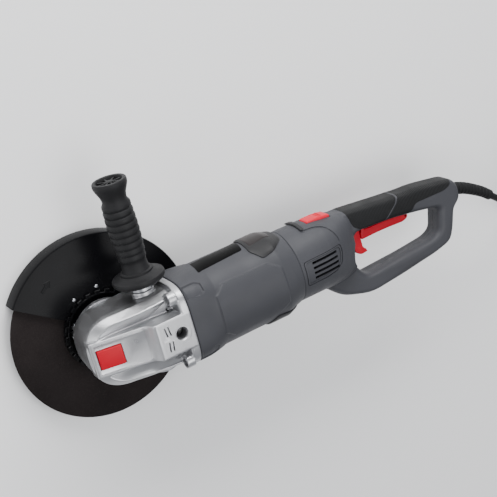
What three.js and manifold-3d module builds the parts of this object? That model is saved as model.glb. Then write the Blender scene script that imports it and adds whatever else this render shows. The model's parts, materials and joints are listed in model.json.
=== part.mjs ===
// A large two-handed angle grinder: 230 mm disc, half-moon guard, cast gear head, round motor
// housing and a closed rear handle that swivels about the motor axis.
//
// Millimetres, +Z up. The pieces are placed from the point where the spindle axis crosses the
// motor axis: +X runs along the motor towards the rear handle, +Y is the side handle's side and
// the disc lies below. The whole tool is then lifted so that the origin is the centre of the
// spindle's threaded end.

import * as THREE from "three";
import { mergeVertices } from "three/addons/utils/BufferGeometryUtils.js";
import Module from "manifold-3d";

const wasm = await Module();
wasm.setup();

// ---------------------------------------------------------------- driving dimensions

const GAP = 0.3; // between pieces that touch

// Spindle stack, heights below the motor axis
const NOSE_END = -84;
const DISC_RADIUS = 115;
const DISC_THICKNESS = 3;
const DISC_TOP = -69.6;
const SPINDLE_RADIUS = 10;
const THREAD_RADIUS = 7; // M14
const CLAMP_RADIUS = 22.5;

// Guard
const GUARD_RADIUS = 120;
const GUARD_START = -35; // degrees from +X
const GUARD_END = 145;
const GUARD_TOP = -64;
const GUARD_SHEET = 2;
const GUARD_FLOOR = -88; // the lowest point of the tool
const COLLAR_RADIUS = 50;
const COLLAR_TEETH = 24;

// Gear head
const HEAD_BOTTOM = -46;
const HEAD_FRONT = -50;
const SEAM_X = 72; // gear head meets motor housing
const FLANGE_HALF_WIDTH = 52.5;
const FLANGE_HALF_HEIGHT = 48;
const NECK_RADIUS = 29;
const NECK_END = -63.5;
const SIDE_BOSS_X = 40.4;
const SIDE_BOSS_FACE = 53;
const TOP_HOLE_X = 55;
const SLOPE_START_Z = 17; // height of the sloping top at the head's front
const SLOPE = 0.28;
const REAR_BLOCK_X = 24;
const REAR_BLOCK_TOP = 48;

// Spindle lock
const LOCK_FRONT_X = -42;
const LOCK_REAR_X = -13;
const LOCK_HALF_WIDTH = 12;
const LOCK_PIN_X = -18.5;
const LOCK_POCKET_ROOF = 22; // the pin and its return spring end under this pocket in the button

// Gears: 36 teeth on the crown, 9 on the pinion, so the motor turns four times as fast
const CROWN_TEETH = 36;
const PINION_TEETH = 9;
const CROWN_RADIUS = 32;
const CROWN_TOOTH_TOP = -7.6;
const TOOTH_ROOT = -9.8;
const PINION_TIP_RADIUS = 9.2;
const PINION_ROOT_RADIUS = 6.9;

// Motor
const SHAFT_RADIUS = 6;
const MOTOR_RADIUS = 54;
const MOTOR_WALL = 3;
const SWIVEL_X = 226; // motor housing meets the rear handle
const SWIVEL_RADIUS = 46;
const SWIVEL_NECK_RADIUS = 38;
const SWIVEL_LIP_RADIUS = 41;
const STACK_START = 108;
const STACK_END = 163;
const CORE_RADIUS = 25.5;
const CORE_SLOTS = 12;
const COMMUTATOR_X = 186;
const COMMUTATOR_RADIUS = 13.5;
const COMMUTATOR_BARS = 16;

// Rear handle
const HANDLE_START = SWIVEL_X + GAP;
const LOOP_HALF_DEPTH = 17;
const LOOP_ROUND = 7;
const HANDLE_WALL = 3.5;
const RUBBER = 2.5;
const TRIGGER_HALF_WIDTH = 7;
const TRIGGER_PIVOT_X = 408;
const TRIGGER_PIVOT_Y = -3;

// Side handle
const SIDE_HANDLE_END = 191;
const SIDE_FLANGE_RADIUS = 32;

// Cord: 9 mm rubber cable; its unused length is a tied coil on the floor
const CORD_RADIUS = 4.5;
const RELIEF_START = 478;
const COIL_X = 700;
const COIL_Y = -60;
const COIL_RADIUS = 50; // to the middle turn
const COIL_HALF_WIDTH = 13.7;
const COIL_BOTTOM = GUARD_FLOOR + 1.2;
const COIL_TOP = COIL_BOTTOM + 27.4;

// ---------------------------------------------------------------- materials

function finish(color, roughness, metalness) {
  return new THREE.MeshStandardMaterial({ color, roughness, metalness });
}

const CAST_ALUMINIUM = finish(0xb9bbc0, 0.35, 0.9);
const STEEL = finish(0x8d9196, 0.3, 0.9);
const BLACK_STEEL = finish(0x17171a, 0.3, 0.6);
const COPPER = finish(0xa8582c, 0.35, 0.9);
const GREY_PLASTIC = finish(0x55565c, 0.6, 0);
const BLACK_PLASTIC = finish(0x1c1c1f, 0.55, 0);
const SMOKED_PLASTIC = finish(0x2b2827, 0.25, 0);
const RED_PLASTIC = finish(0xcf2430, 0.4, 0);
const BLACK_RUBBER = finish(0x19191b, 0.85, 0);
const ABRASIVE = finish(0x33302f, 0.95, 0);
const CARBON = finish(0x2a2a2c, 0.7, 0.1);

// ---------------------------------------------------------------- solids

// A closed geometry as a solid. Profiles and outlines may run either way round.
function solid(geometry) {
  const bare = new THREE.BufferGeometry();
  bare.setAttribute("position", geometry.getAttribute("position"));
  bare.setIndex(geometry.getIndex());
  const merged = mergeVertices(bare, 1e-4);
  const corners = merged.getIndex().array;
  const triangles = [];
  for (let i = 0; i < corners.length; i += 3) {
    const [a, b, c] = corners.slice(i, i + 3);
    if (a !== b && b !== c && c !== a) {
      triangles.push(a, b, c);
    }
  }
  const mesh = (order) => new wasm.Mesh({
    numProp: 3,
    vertProperties: new Float32Array(merged.getAttribute("position").array),
    triVerts: new Uint32Array(order),
  });
  const made = new wasm.Manifold(mesh(triangles));
  return made.volume() < 0 ? new wasm.Manifold(mesh(triangles.reverse())) : made;
}

function join(...parts) {
  return parts.reduce((all, part) => all.add(part));
}

function cut(body, ...tools) {
  return tools.reduce((left, tool) => left.subtract(tool), body);
}

function geometryOf(made) {
  const mesh = made.getMesh();
  const geometry = new THREE.BufferGeometry();
  geometry.setAttribute("position", new THREE.BufferAttribute(mesh.vertProperties, 3));
  geometry.setIndex(new THREE.BufferAttribute(mesh.triVerts, 1));
  geometry.computeVertexNormals();
  return geometry;
}

const AXIS_TURNS = {
  x: (geometry) => geometry.rotateZ(-Math.PI / 2),
  y: (geometry) => geometry,
  z: (geometry) => geometry.rotateX(Math.PI / 2),
};

// A turned piece: profile points are [radius, distance along the axis].
function turned(axis, profile, at = [0, 0, 0], sides = 20) {
  const points = profile.map(([radius, along]) => new THREE.Vector2(radius, along));
  points.push(points[0].clone());
  const geometry = AXIS_TURNS[axis](new THREE.LatheGeometry(points, sides));
  return solid(geometry.translate(...at));
}

function rod(axis, radius, from, to, at = [0, 0, 0], sides = 12) {
  return turned(axis, [[0, from], [radius, from], [radius, to], [0, to]], at, sides);
}

function ring(axis, inner, outer, from, to, at = [0, 0, 0], sides = 20) {
  return turned(axis, [[inner, from], [outer, from], [outer, to], [inner, to]], at, sides);
}

function block([x0, x1], [y0, y1], [z0, z1]) {
  const geometry = new THREE.BoxGeometry(x1 - x0, y1 - y0, z1 - z0);
  return solid(geometry.translate((x0 + x1) / 2, (y0 + y1) / 2, (z0 + z1) / 2));
}

// A closed outline through corner points [u, v, how far the corner's rounding reaches].
function outline(corners, Kind = THREE.Shape) {
  const shape = new Kind();
  corners.forEach(([u, v, wanted = 0], index) => {
    const corner = new THREE.Vector2(u, v);
    const back = new THREE.Vector2(...corners.at(index - 1)).sub(corner);
    const ahead = new THREE.Vector2(...corners[(index + 1) % corners.length]).sub(corner);
    const radius = Math.min(wanted, back.length() * 0.48, ahead.length() * 0.48);
    const start = corner.clone().add(back.setLength(radius));
    const end = corner.clone().add(ahead.setLength(radius));
    if (index === 0) {
      shape.moveTo(start.x, start.y);
    } else {
      shape.lineTo(start.x, start.y);
    }
    if (radius > 0) {
      shape.quadraticCurveTo(u, v, end.x, end.y);
    }
  });
  shape.closePath();
  return shape;
}

// Extruded outlines. Across Z the outline is (x, y), across Y it is (x, z), across X it is (y, z).
const X = new THREE.Vector3(1, 0, 0);
const Y = new THREE.Vector3(0, 1, 0);
const Z = new THREE.Vector3(0, 0, 1);
const PLANES = {
  z: new THREE.Matrix4().makeBasis(X, Y, Z),
  y: new THREE.Matrix4().makeBasis(X, Z, Y.clone().negate()),
  x: new THREE.Matrix4().makeBasis(Y, Z, X),
};

function slab(axis, shape, from, to, { round = 0, inset = 0, steps = 1, curve = 3 } = {}) {
  const geometry = new THREE.ExtrudeGeometry(shape, {
    depth: to - from - 2 * round,
    bevelEnabled: round > 0 || inset !== 0,
    bevelThickness: round,
    bevelSize: round,
    bevelOffset: -round - inset,
    bevelSegments: steps,
    curveSegments: curve,
  });
  geometry.translate(0, 0, axis === "y" ? -to + round : from + round);
  return solid(geometry.applyMatrix4(PLANES[axis]));
}

// A closed skin over rings of points, one after another, with flat ends.
function loft(rings) {
  const count = rings[0].length;
  const positions = rings.flat();
  const faces = [];
  for (let r = 0; r + 1 < rings.length; r += 1) {
    for (let i = 0; i < count; i += 1) {
      const a = r * count + i;
      const b = r * count + ((i + 1) % count);
      faces.push(a, b, b + count, a, b + count, a + count);
    }
  }
  const last = (rings.length - 1) * count;
  for (let i = 1; i + 1 < count; i += 1) {
    faces.push(0, i + 1, i, last, last + i, last + i + 1);
  }
  const geometry = new THREE.BufferGeometry().setFromPoints(positions);
  geometry.setIndex(faces);
  return solid(geometry);
}

function power(value, exponent) {
  return Math.sign(value) * Math.abs(value) ** exponent;
}

// A superellipse across the motor axis: square 2 is round, 4 is a rounded square.
function section(x, halfY, halfZ, square = 2, centreY = 0, sides = 20) {
  return Array.from({ length: sides }, (_, i) => {
    const turn = ((i + 0.5) / sides) * 2 * Math.PI;
    const y = centreY + halfY * power(Math.cos(turn), 2 / square);
    return new THREE.Vector3(x, y, halfZ * power(Math.sin(turn), 2 / square));
  });
}

// A coil spring along Z, on the given centre.
function spring(radius, wire, from, to, turns, at) {
  const steps = turns * 8;
  const points = Array.from({ length: steps + 1 }, (_, i) => {
    const turn = (i / steps) * turns * 2 * Math.PI;
    const height = from + wire + (to - from - 2 * wire) * (i / steps);
    return new THREE.Vector3(radius * Math.cos(turn), radius * Math.sin(turn), height);
  });
  const geometry = new THREE.ExtrudeGeometry(circle(wire, 5), {
    steps,
    extrudePath: new THREE.CatmullRomCurve3(points),
    bevelEnabled: false,
  });
  return solid(geometry.translate(...at));
}

function circle(radius, sides) {
  const points = Array.from({ length: sides }, (_, i) => {
    const turn = (i / sides) * 2 * Math.PI;
    return new THREE.Vector2(radius * Math.cos(turn), radius * Math.sin(turn));
  });
  return new THREE.Shape(points);
}

const degrees = THREE.MathUtils.degToRad;

// ---------------------------------------------------------------- the assembly

const grinder = new THREE.Group();
grinder.position.z = -NOSE_END;

function piece(name, made, material) {
  const mesh = new THREE.Mesh(geometryOf(made), material);
  mesh.name = name;
  grinder.add(mesh);
}

// ---------------------------------------------------------------- gear head

// One level of the head: straight flaring sides and a blunt rounded front.
function headLevel(height, halfWidth, front, rearHalfWidth) {
  const straight = -5; // where the sides end and the round front begins
  const steps = 14;
  const level = [];
  for (let i = 0; i <= steps; i += 1) {
    const turn = degrees(-90 + (180 * i) / steps);
    const x = straight - (straight - front) * power(Math.cos(turn), 0.8);
    level.push(new THREE.Vector3(x, -halfWidth * power(Math.sin(turn), 0.8), height));
  }
  level.push(new THREE.Vector3(SEAM_X, -rearHalfWidth, height));
  level.push(new THREE.Vector3(SEAM_X, rearHalfWidth, height));
  for (const point of level) {
    point.z = drooped(point);
  }
  return level;
}

// Everything above the motor axis sinks towards the front of the head.
function drooped({ x, z }) {
  const flatFrom = 20;
  const lowest = 0.45;
  const forward = THREE.MathUtils.clamp((flatFrom - x) / (flatFrom - HEAD_FRONT), 0, 1);
  return z > 0 ? z * (1 - (1 - lowest) * forward) : z;
}

function slopeHeight(x) {
  return SLOPE_START_Z + SLOPE * (x - HEAD_FRONT);
}

function headSkin() {
  return loft([
    headLevel(HEAD_BOTTOM, 39, -45, 43),
    headLevel(-20, 41.5, -48, 46),
    headLevel(10, 44.5, HEAD_FRONT, 49.5),
    headLevel(21, 44, HEAD_FRONT + 0.5, 49),
    headLevel(33, 37, HEAD_FRONT + 9, 42),
  ]);
}

// The raised middle: it slopes up from the front, then steps up to a level rear block.
function headRidge() {
  const profile = outline([
    [HEAD_FRONT + 2, 0, 0],
    [HEAD_FRONT + 2, slopeHeight(HEAD_FRONT + 2), 3],
    [REAR_BLOCK_X - 6, slopeHeight(REAR_BLOCK_X - 6), 3],
    [REAR_BLOCK_X, REAR_BLOCK_TOP, 2],
    [SEAM_X, REAR_BLOCK_TOP, 0],
    [SEAM_X, 0, 0],
  ]);
  return slab("y", profile, -23, 23, { round: 2, steps: 1 });
}

function seamOutline(inset) {
  const corners = section(0, FLANGE_HALF_WIDTH - inset, FLANGE_HALF_HEIGHT - inset, 3.9, 0, 20);
  return new THREE.Shape(corners.map(({ y, z }) => new THREE.Vector2(y, z)));
}

const FLANGE_SCREWS = [[1, 1], [1, -1], [-1, 1], [-1, -1]].map(([a, b]) => [a * 41, b * 36]);

const COVER_SCREW_RADIUS = 36.5;
const COVER_SCREWS = [45, 135, 225, 315].map((angle) => {
  const turn = degrees(angle);
  return [COVER_SCREW_RADIUS * Math.cos(turn), COVER_SCREW_RADIUS * Math.sin(turn)];
});

function gearHousing() {
  const bosses = [-1, 1].map((side) => {
    const [from, to] = [30, SIDE_BOSS_FACE].map((y) => side * y).sort((a, b) => a - b);
    return rod("y", 14, from, to, [SIDE_BOSS_X, 0, 0], 16);
  });
  const bushSeat = rod("z", 13, 2, 20, [0, 0, 0], 16);
  const outside = join(headSkin(), headRidge(), slab("x", seamOutline(0), 62, SEAM_X), ...bosses);
  const hollow = cut(
    outside,
    rod("z", 35, HEAD_BOTTOM - 1, 6, [0, 0, 0], 24),
    rod("x", 34, 26, SEAM_X + 1, [0, 0, 0], 24),
    rod("x", 13, 18, 27, [0, 0, 0], 16),
  );
  const lockHalf = LOCK_HALF_WIDTH + 0.5;
  const holes = [
    block([LOCK_FRONT_X - 0.5, LOCK_REAR_X + 0.5], [-lockHalf, lockHalf], [11.5, 60]),
    rod("z", 3.2, 0, 20, [LOCK_PIN_X, 0, 0]),
    rod("z", THREAD_RADIUS, 30, 60, [TOP_HOLE_X, 0, 0], 12),
    rod("y", THREAD_RADIUS + GAP, 38, 60, [SIDE_BOSS_X, 0, 0]),
    rod("y", THREAD_RADIUS + GAP, -60, -38, [SIDE_BOSS_X, 0, 0]),
    rod("z", 9 + GAP, -1, 13, [0, 0, 0], 16),
    ...coolingSlots(),
    ...COVER_SCREWS.map(([x, y]) => rod("z", 2.6, HEAD_BOTTOM - 1, -39, [x, y, 0], 8)),
    ...FLANGE_SCREWS.map(([y, z]) => rod("x", 3.1, 55, SEAM_X + 1, [0, y, z], 8)),
    ...FLANGE_SCREWS.map(([y, z]) => rod("x", 6.5, 48, 62.5, [0, y, z], 8)),
  ];
  return cut(join(hollow, bushSeat), ...holes);
}

// Two rows of two short slots behind the step.
function coolingSlots() {
  const slots = [];
  for (const x of [35, 39.5]) {
    for (const y of [9.5, -9.5]) {
      slots.push(block([x, x + 1.8], [y - 6, y + 6], [REAR_BLOCK_TOP - 9, REAR_BLOCK_TOP + 5]));
    }
  }
  return slots;
}

function bearingCover() {
  const flangeTop = HEAD_BOTTOM - GAP;
  const flangeBottom = -53;
  const bearingSeat = 20.3;
  const body = turned("z", [
    [bearingSeat, flangeTop], [42, flangeTop], [42, flangeBottom], [NECK_RADIUS, flangeBottom],
    [NECK_RADIUS, NECK_END], [14, NECK_END], [14, -59.3], [bearingSeat, -59.3],
  ], [0, 0, 0], 28);
  return cut(
    body,
    ...COVER_SCREWS.map(([x, y]) => rod("z", 2.5, -60, -40, [x, y, 0], 8)),
    ...COVER_SCREWS.map(([x, y]) => rod("z", 4.6, -60, -49, [x, y, 0])),
  );
}

// A pan-head screw along Z with its head at the given end.
function zScrew(radius, headRadius, headFrom, headTo, tip, [x, y]) {
  const [shankFrom, shankTo] = tip > headTo ? [headTo, tip] : [tip, headFrom];
  const shank = rod("z", radius, shankFrom - 0.1, shankTo + 0.1, [x, y, 0], 8);
  return join(rod("z", headRadius, headFrom, headTo, [x, y, 0]), shank);
}

function bearingPlate() {
  return turned("x", [
    [10, 56], [33.6, 56], [33.6, SEAM_X - GAP], [18, SEAM_X - GAP], [18, 58.2], [10, 58.2],
  ]);
}

// ---------------------------------------------------------------- spindle, gears and disc

function spindle() {
  return turned("z", [
    [0, NOSE_END], [THREAD_RADIUS - 1, NOSE_END], [THREAD_RADIUS, NOSE_END + 1], [THREAD_RADIUS, -61],
    [SPINDLE_RADIUS, -61], [SPINDLE_RADIUS, -27], [9, -27], [9, -4], [6, -4], [6, 11], [0, 11],
  ], [0, 0, 0], 16);
}

// A sealed ball bearing as one ring, with its seal sunk between the races on one face.
function bearing(axis, inner, outer, from, to) {
  const middle = (inner + outer) / 2;
  const half = (outer - inner) * 0.22;
  return turned(axis, [
    [inner, from], [outer, from], [outer, to], [middle + half, to], [middle + half, to - 1],
    [middle - half, to - 1], [middle - half, to], [inner, to],
  ], [0, 0, 0], 16);
}

// Teeth with square flanks; each takes the given share of the pitch, half a pitch from +X.
function toothed(root, tip, count, share) {
  const points = [];
  for (let i = 0; i < count; i += 1) {
    for (const [radius, offset] of [[root, -1], [tip, -1], [tip, 1], [root, 1]]) {
      const turn = ((i + 0.5 + (offset * share) / 2) / count) * 2 * Math.PI;
      points.push(new THREE.Vector2(radius * Math.cos(turn), radius * Math.sin(turn)));
    }
  }
  return new THREE.Shape(points);
}

function crownGear() {
  const body = turned("z", [
    [9 + GAP, -26.5], [16, -26.5], [17, -19], [CROWN_RADIUS, -16], [CROWN_RADIUS, TOOTH_ROOT],
    [15, TOOTH_ROOT], [15, -8], [9 + GAP, -8],
  ], [0, 0, 0], 18);
  const teeth = slab("z", toothed(22.5, CROWN_RADIUS - 0.2, CROWN_TEETH, 0.36), TOOTH_ROOT - 0.5,
    CROWN_TOOTH_TOP).subtract(rod("z", 20, -30, 0));
  const lockHoles = [0, 90, 180, 270].map((angle) => {
    const [x, y] = [-LOCK_PIN_X * Math.cos(degrees(angle)), -LOCK_PIN_X * Math.sin(degrees(angle))];
    return rod("z", 3.3, -25, 0, [x, y, 0], 8);
  });
  return cut(join(body, teeth), ...lockHoles);
}

function pinion() {
  const points = [];
  const share = [-0.27, -0.11, 0.11, 0.27];
  const radii = [PINION_ROOT_RADIUS, PINION_TIP_RADIUS, PINION_TIP_RADIUS, PINION_ROOT_RADIUS];
  for (let i = 0; i < PINION_TEETH; i += 1) {
    share.forEach((offset, k) => {
      const turn = ((i + offset) / PINION_TEETH) * 2 * Math.PI - Math.PI / 2;
      points.push(new THREE.Vector2(radii[k] * Math.cos(turn), radii[k] * Math.sin(turn)));
    });
  }
  const teeth = slab("x", new THREE.Shape(points), 22.6, 33);
  return cut(teeth, rod("x", 4.3, 20, 40));
}

function innerFlange() {
  return turned("z", [
    [THREAD_RADIUS + GAP, -61.3], [12.5, -61.3], [12.5, -65.3], [CLAMP_RADIUS, -65.3],
    [CLAMP_RADIUS, DISC_TOP + GAP], [10.9, DISC_TOP + GAP], [10.9, -72], [THREAD_RADIUS + GAP, -72],
  ]);
}

function outerNut() {
  const top = DISC_TOP - DISC_THICKNESS - GAP;
  const nut = turned("z", [
    [THREAD_RADIUS + GAP, top], [CLAMP_RADIUS, top], [CLAMP_RADIUS, top - 4], [16, top - 4.6],
    [16, top - 7.6], [THREAD_RADIUS + GAP, top - 7.6],
  ]);
  const pinHoles = [0, 90, 180, 270].map((angle) => {
    const at = [19 * Math.cos(degrees(angle)), 19 * Math.sin(degrees(angle)), 0];
    return rod("z", 2.2, top - 9, top - 1.5, at, 8);
  });
  return cut(nut, ...pinHoles);
}

function disc() {
  return ring("z", 11.2, DISC_RADIUS, DISC_TOP - DISC_THICKNESS, DISC_TOP, [0, 0, 0], 56);
}

// ---------------------------------------------------------------- guard

function sector(inner, outer, start, end, steps = 24) {
  const points = [];
  const add = (radius, share) => {
    const turn = degrees(start + (end - start) * share);
    points.push(new THREE.Vector2(radius * Math.cos(turn), radius * Math.sin(turn)));
  };
  for (let i = 0; i <= steps; i += 1) {
    add(outer, i / steps);
  }
  for (let i = steps; i >= 0; i -= 1) {
    add(inner, i / steps);
  }
  return new THREE.Shape(points);
}

function guard() {
  const collarHole = 26;
  const under = GUARD_TOP - GUARD_SHEET;
  const plate = slab("z", sector(30, GUARD_RADIUS, GUARD_START, GUARD_END), under, GUARD_TOP);
  const rim = slab("z", sector(GUARD_RADIUS - GUARD_SHEET, GUARD_RADIUS, GUARD_START, GUARD_END),
    GUARD_FLOOR, under + 1);
  const lip = slab("z", sector(GUARD_RADIUS - 4.5, GUARD_RADIUS - 1, GUARD_START, GUARD_END),
    GUARD_FLOOR, GUARD_FLOOR + 1.5);
  const collar = ring("z", collarHole, COLLAR_RADIUS, under, GUARD_TOP, [0, 0, 0], COLLAR_TEETH);
  const toothRing = slab("z", toothed(COLLAR_RADIUS - 3, COLLAR_RADIUS, COLLAR_TEETH, 0.6),
    GUARD_TOP - 1, GUARD_TOP + 4);
  const ringHole = rod("z", 44.5, GUARD_TOP, GUARD_TOP + 10, [0, 0, 0], COLLAR_TEETH);
  return cut(join(plate, rim, lip, collar, cut(toothRing, rod("z", 40, -90, 0))), ringHole);
}

const EAR_ANGLE = 158; // where the clamp band is pulled together

function inEarPlace(made) {
  return made.rotate([0, 0, EAR_ANGLE]);
}

function clampBand() {
  const inner = NECK_RADIUS + GAP;
  const band = ring("z", inner, inner + 2.2, GUARD_TOP + GAP, -55, [0, 0, 0], 28);
  const split = block([inner - 2, inner + 6], [-2, 2], [GUARD_TOP, -50]);
  const ears = [-1, 1].map((side) => {
    const [from, to] = [2, 4.4].map((y) => side * y).sort((a, b) => a - b);
    return block([inner + 0.5, inner + 13], [from, to], [GUARD_TOP + GAP, -55]);
  });
  const bolt = rod("y", 2.8, -10, 10, [inner + 8, 0, -59.3], 8);
  return inEarPlace(cut(join(cut(band, split), ...ears), bolt));
}

function clampScrew() {
  const x = NECK_RADIUS + GAP + 8;
  const shank = rod("y", 2.5, -7, 8, [x, 0, -59.3], 8);
  const head = rod("y", 4.2, -8.5, -4.7, [x, 0, -59.3], 6);
  const nut = rod("y", 4.4, 4.7, 8.7, [x, 0, -59.3], 6);
  return inEarPlace(join(shank, head, nut));
}

// ---------------------------------------------------------------- spindle lock

function lockButton() {
  const top = (x) => slopeHeight(x) + 1.8;
  const profile = outline([
    [LOCK_FRONT_X, 16, 0], [LOCK_REAR_X, 16, 0], [LOCK_REAR_X, top(LOCK_REAR_X), 2.5],
    [LOCK_FRONT_X, top(LOCK_FRONT_X), 2.5],
  ]);
  const body = slab("y", profile, -LOCK_HALF_WIDTH, LOCK_HALF_WIDTH, { round: 0.8, steps: 1 });
  return cut(body, rod("z", 5.6, 15, LOCK_POCKET_ROOF, [LOCK_PIN_X, 0, 0], 16));
}

// ---------------------------------------------------------------- motor

function armatureShaft() {
  return turned("x", [
    [0, 19], [4, 19], [4, 36], [SHAFT_RADIUS, 36], [SHAFT_RADIUS, 214], [0, 214],
  ], [0, 0, 0], 12);
}

function fan() {
  const hub = ring("x", SHAFT_RADIUS + GAP, 12, 80, 96, [0, 0, 0], 14);
  const web = ring("x", 11, 42, 93, 95.5, [0, 0, 0], 28);
  const blades = [];
  const bladeCount = 11;
  for (let i = 0; i < bladeCount; i += 1) {
    const blade = block([80.5, 94], [11, 41.5], [-0.9, 0.9]);
    blades.push(blade.rotate([(i / bladeCount) * 360, 0, 0]));
  }
  return join(hub, web, ...blades);
}

function coreSlot(i, inner, outer, halfWidth, from, to) {
  const slot = block([from, to], [inner, outer], [-halfWidth, halfWidth]);
  return slot.rotate([((i + 0.5) / CORE_SLOTS) * 360, 0, 0]);
}

function armatureCore() {
  const stack = ring("x", SHAFT_RADIUS + GAP, CORE_RADIUS, STACK_START, STACK_END, [0, 0, 0], 24);
  const slots = Array.from({ length: CORE_SLOTS }, (_, i) =>
    coreSlot(i, 14, 22.3, 2.2, STACK_START - 1, STACK_END + 1));
  return cut(stack, ...slots);
}

function armatureWindings() {
  const front = ring("x", 9, 23, STACK_START - 10, STACK_START - GAP, [0, 0, 0], 12);
  const rear = ring("x", 9, 23, STACK_END + GAP, STACK_END + 11, [0, 0, 0], 12);
  const bars = Array.from({ length: CORE_SLOTS }, (_, i) =>
    coreSlot(i, 14 + GAP, 22, 2.2 - GAP, STACK_START - 2, STACK_END + 2));
  return join(front, rear, ...bars);
}

function commutator() {
  const body = ring("x", SHAFT_RADIUS + GAP, COMMUTATOR_RADIUS, 178, 194, [0, 0, 0], COMMUTATOR_BARS);
  const riser = ring("x", 8, COMMUTATOR_RADIUS + 1.5, 176, 179, [0, 0, 0], COMMUTATOR_BARS);
  const grooves = Array.from({ length: COMMUTATOR_BARS }, (_, i) => {
    const groove = block([179.5, 195], [COMMUTATOR_RADIUS - 1, COMMUTATOR_RADIUS + 1], [-0.3, 0.3]);
    return groove.rotate([((i + 0.5) / COMMUTATOR_BARS) * 360, 0, 0]);
  });
  return cut(join(body, riser), ...grooves);
}

const COIL_BAR = { near: 29.5, far: 37, low: 4, high: 14 };

function stator() {
  const stack = ring("x", CORE_RADIUS + 0.8, 47, STACK_START, STACK_END, [0, 0, 0], 28);
  const windows = [1, -1].flatMap((sideY) => [1, -1].map((sideZ) =>
    coilBar(sideY, sideZ, GAP, STACK_START - 1, STACK_END + 1)));
  return cut(stack, ...windows);
}

function coilBar(sideY, sideZ, grow, from, to) {
  const { near, far, low, high } = COIL_BAR;
  const ys = [sideY * (near - grow), sideY * (far + grow)].sort((a, b) => a - b);
  const zs = [sideZ * (low - grow), sideZ * (high + grow)].sort((a, b) => a - b);
  return block([from, to], ys, zs);
}

// One field coil: two bars through the stator and an arc of end turns at each end.
function fieldCoil(sideZ) {
  const start = sideZ > 0 ? 5 : 185;
  const arc = sector(29, 37, start, start + 170, 10);
  const ends = [[STACK_START - 9, STACK_START - GAP], [STACK_END + GAP, STACK_END + 9]];
  const turns = ends.map(([from, to]) => slab("x", arc, from, to));
  const bars = [1, -1].map((sideY) => coilBar(sideY, sideZ, 0, STACK_START - 4, STACK_END + 4));
  return join(...turns, ...bars);
}

function brushHolder(side) {
  const ys = [side * 16, side * 44].sort((a, b) => a - b);
  const wide = block([COMMUTATOR_X - 7, COMMUTATOR_X + 7], ys, [-6, 6]);
  const bore = block([COMMUTATOR_X - 4.3, COMMUTATOR_X + 4.3], [-60, 60], [-3.3, 3.3]);
  return cut(wide, bore);
}

function carbonBrush(side) {
  const ys = [side * 14.2, side * 36].sort((a, b) => a - b);
  return block([COMMUTATOR_X - 4, COMMUTATOR_X + 4], ys, [-3, 3]);
}

// ---------------------------------------------------------------- motor housing

function motorSkin(inset) {
  const at = (x, halfY, halfZ, square) => section(x, halfY - inset, halfZ - inset, square);
  return loft([
    at(SEAM_X + GAP, FLANGE_HALF_WIDTH, FLANGE_HALF_HEIGHT, 3.9),
    at(88, FLANGE_HALF_WIDTH + 0.5, FLANGE_HALF_HEIGHT + 2, 3.6),
    at(112, MOTOR_RADIUS, MOTOR_RADIUS - 2, 2.2),
    at(160, MOTOR_RADIUS, MOTOR_RADIUS - 1, 2.1),
    at(208, MOTOR_RADIUS, MOTOR_RADIUS - 1, 2.1),
    at(SWIVEL_X, SWIVEL_RADIUS + 1, SWIVEL_RADIUS, 2),
  ]);
}

function servicePanel(inner, outer, side, margin) {
  const tube = ring("x", inner, outer, 170, 226, [0, 0, 0], 28);
  const panel = outline([
    [178 - margin, -20 - margin], [190, -34 - margin], [214 + margin, -30 - margin],
    [221 + margin, -12], [221 + margin, 20], [203 + margin, 36 + margin],
    [184 - margin, 38 + margin], [174 - margin, 24],
  ]);
  const [from, to] = side > 0 ? [5, 70] : [-70, -5];
  return tube.intersect(slab("y", panel, from, to));
}

function motorHousing() {
  const neck = join(
    ring("x", 34, SWIVEL_NECK_RADIUS, SWIVEL_X - 5, 240, [0, 0, 0], 24),
    ring("x", 35, SWIVEL_LIP_RADIUS, 236, 240, [0, 0, 0], 24),
  );
  const rearHole = rod("x", 34, 200, 250, [0, 0, 0], 24);
  const inside = motorSkin(MOTOR_WALL).intersect(block([60, SWIVEL_X - 4], [-60, 60], [-60, 60]));
  const mouth = slab("x", seamOutline(MOTOR_WALL + 1), SEAM_X - 1, 80);
  const shell = cut(join(cut(motorSkin(0), inside, mouth, rearHole), neck));
  const spokes = [70, 110].map((angle) =>
    block([203, 213], [-50.5, 50.5], [-2, 2]).rotate([angle, 0, 0]));
  const seat = ring("x", 13.3, 17, 202, 215, [0, 0, 0], 16);
  const cradle = join(cut(join(...spokes), rod("x", 15, 200, 220)), seat);
  const screwPosts = FLANGE_SCREWS.map(([y, z]) => rod("x", 5.6, SEAM_X + GAP, 96, [0, y, z], 8));
  const screwHoles = FLANGE_SCREWS.map(([y, z]) => rod("x", 3.1, 70, 92, [0, y, z], 8));
  const body = join(shell, cradle, ...screwPosts);
  const windows = [1, -1].map((side) => servicePanel(40, 60, side, GAP));
  return cut(body, ...windows, ...screwHoles);
}

function serviceCover(side) {
  return servicePanel(MOTOR_RADIUS - 3, MOTOR_RADIUS + 2.5, side, 0);
}

function flangeScrew([y, z]) {
  const head = rod("x", 4.6, 56.5, 61.7, [0, y, z]);
  const socket = rod("x", 2.3, 55, 59.5, [0, y, z], 6);
  return join(cut(head, socket), rod("x", 2.5, 61.6, 90, [0, y, z], 8));
}

// ---------------------------------------------------------------- rear handle

const LOOP_OUTER = [
  [292, 40], [318, 40], [410, 30], [432, 29], [462, 24], [483, 20, 9], [492, 8, 6], [492, -8, 5],
  [480, -18], [472.5, -44], [465, -60, 9], [440, -67], [385, -74.5], [330, -79, 12], [291, -66],
  [272, -49], [272, 0],
];

const LOOP_HOLE = [
  [330, 8], [314, -10], [310.5, -24], [331, -54, 8], [436, -47, 6], [448, -41, 5], [455, -12],
  [449, -7.5], [421, -2.5], [378, 4],
];

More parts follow.
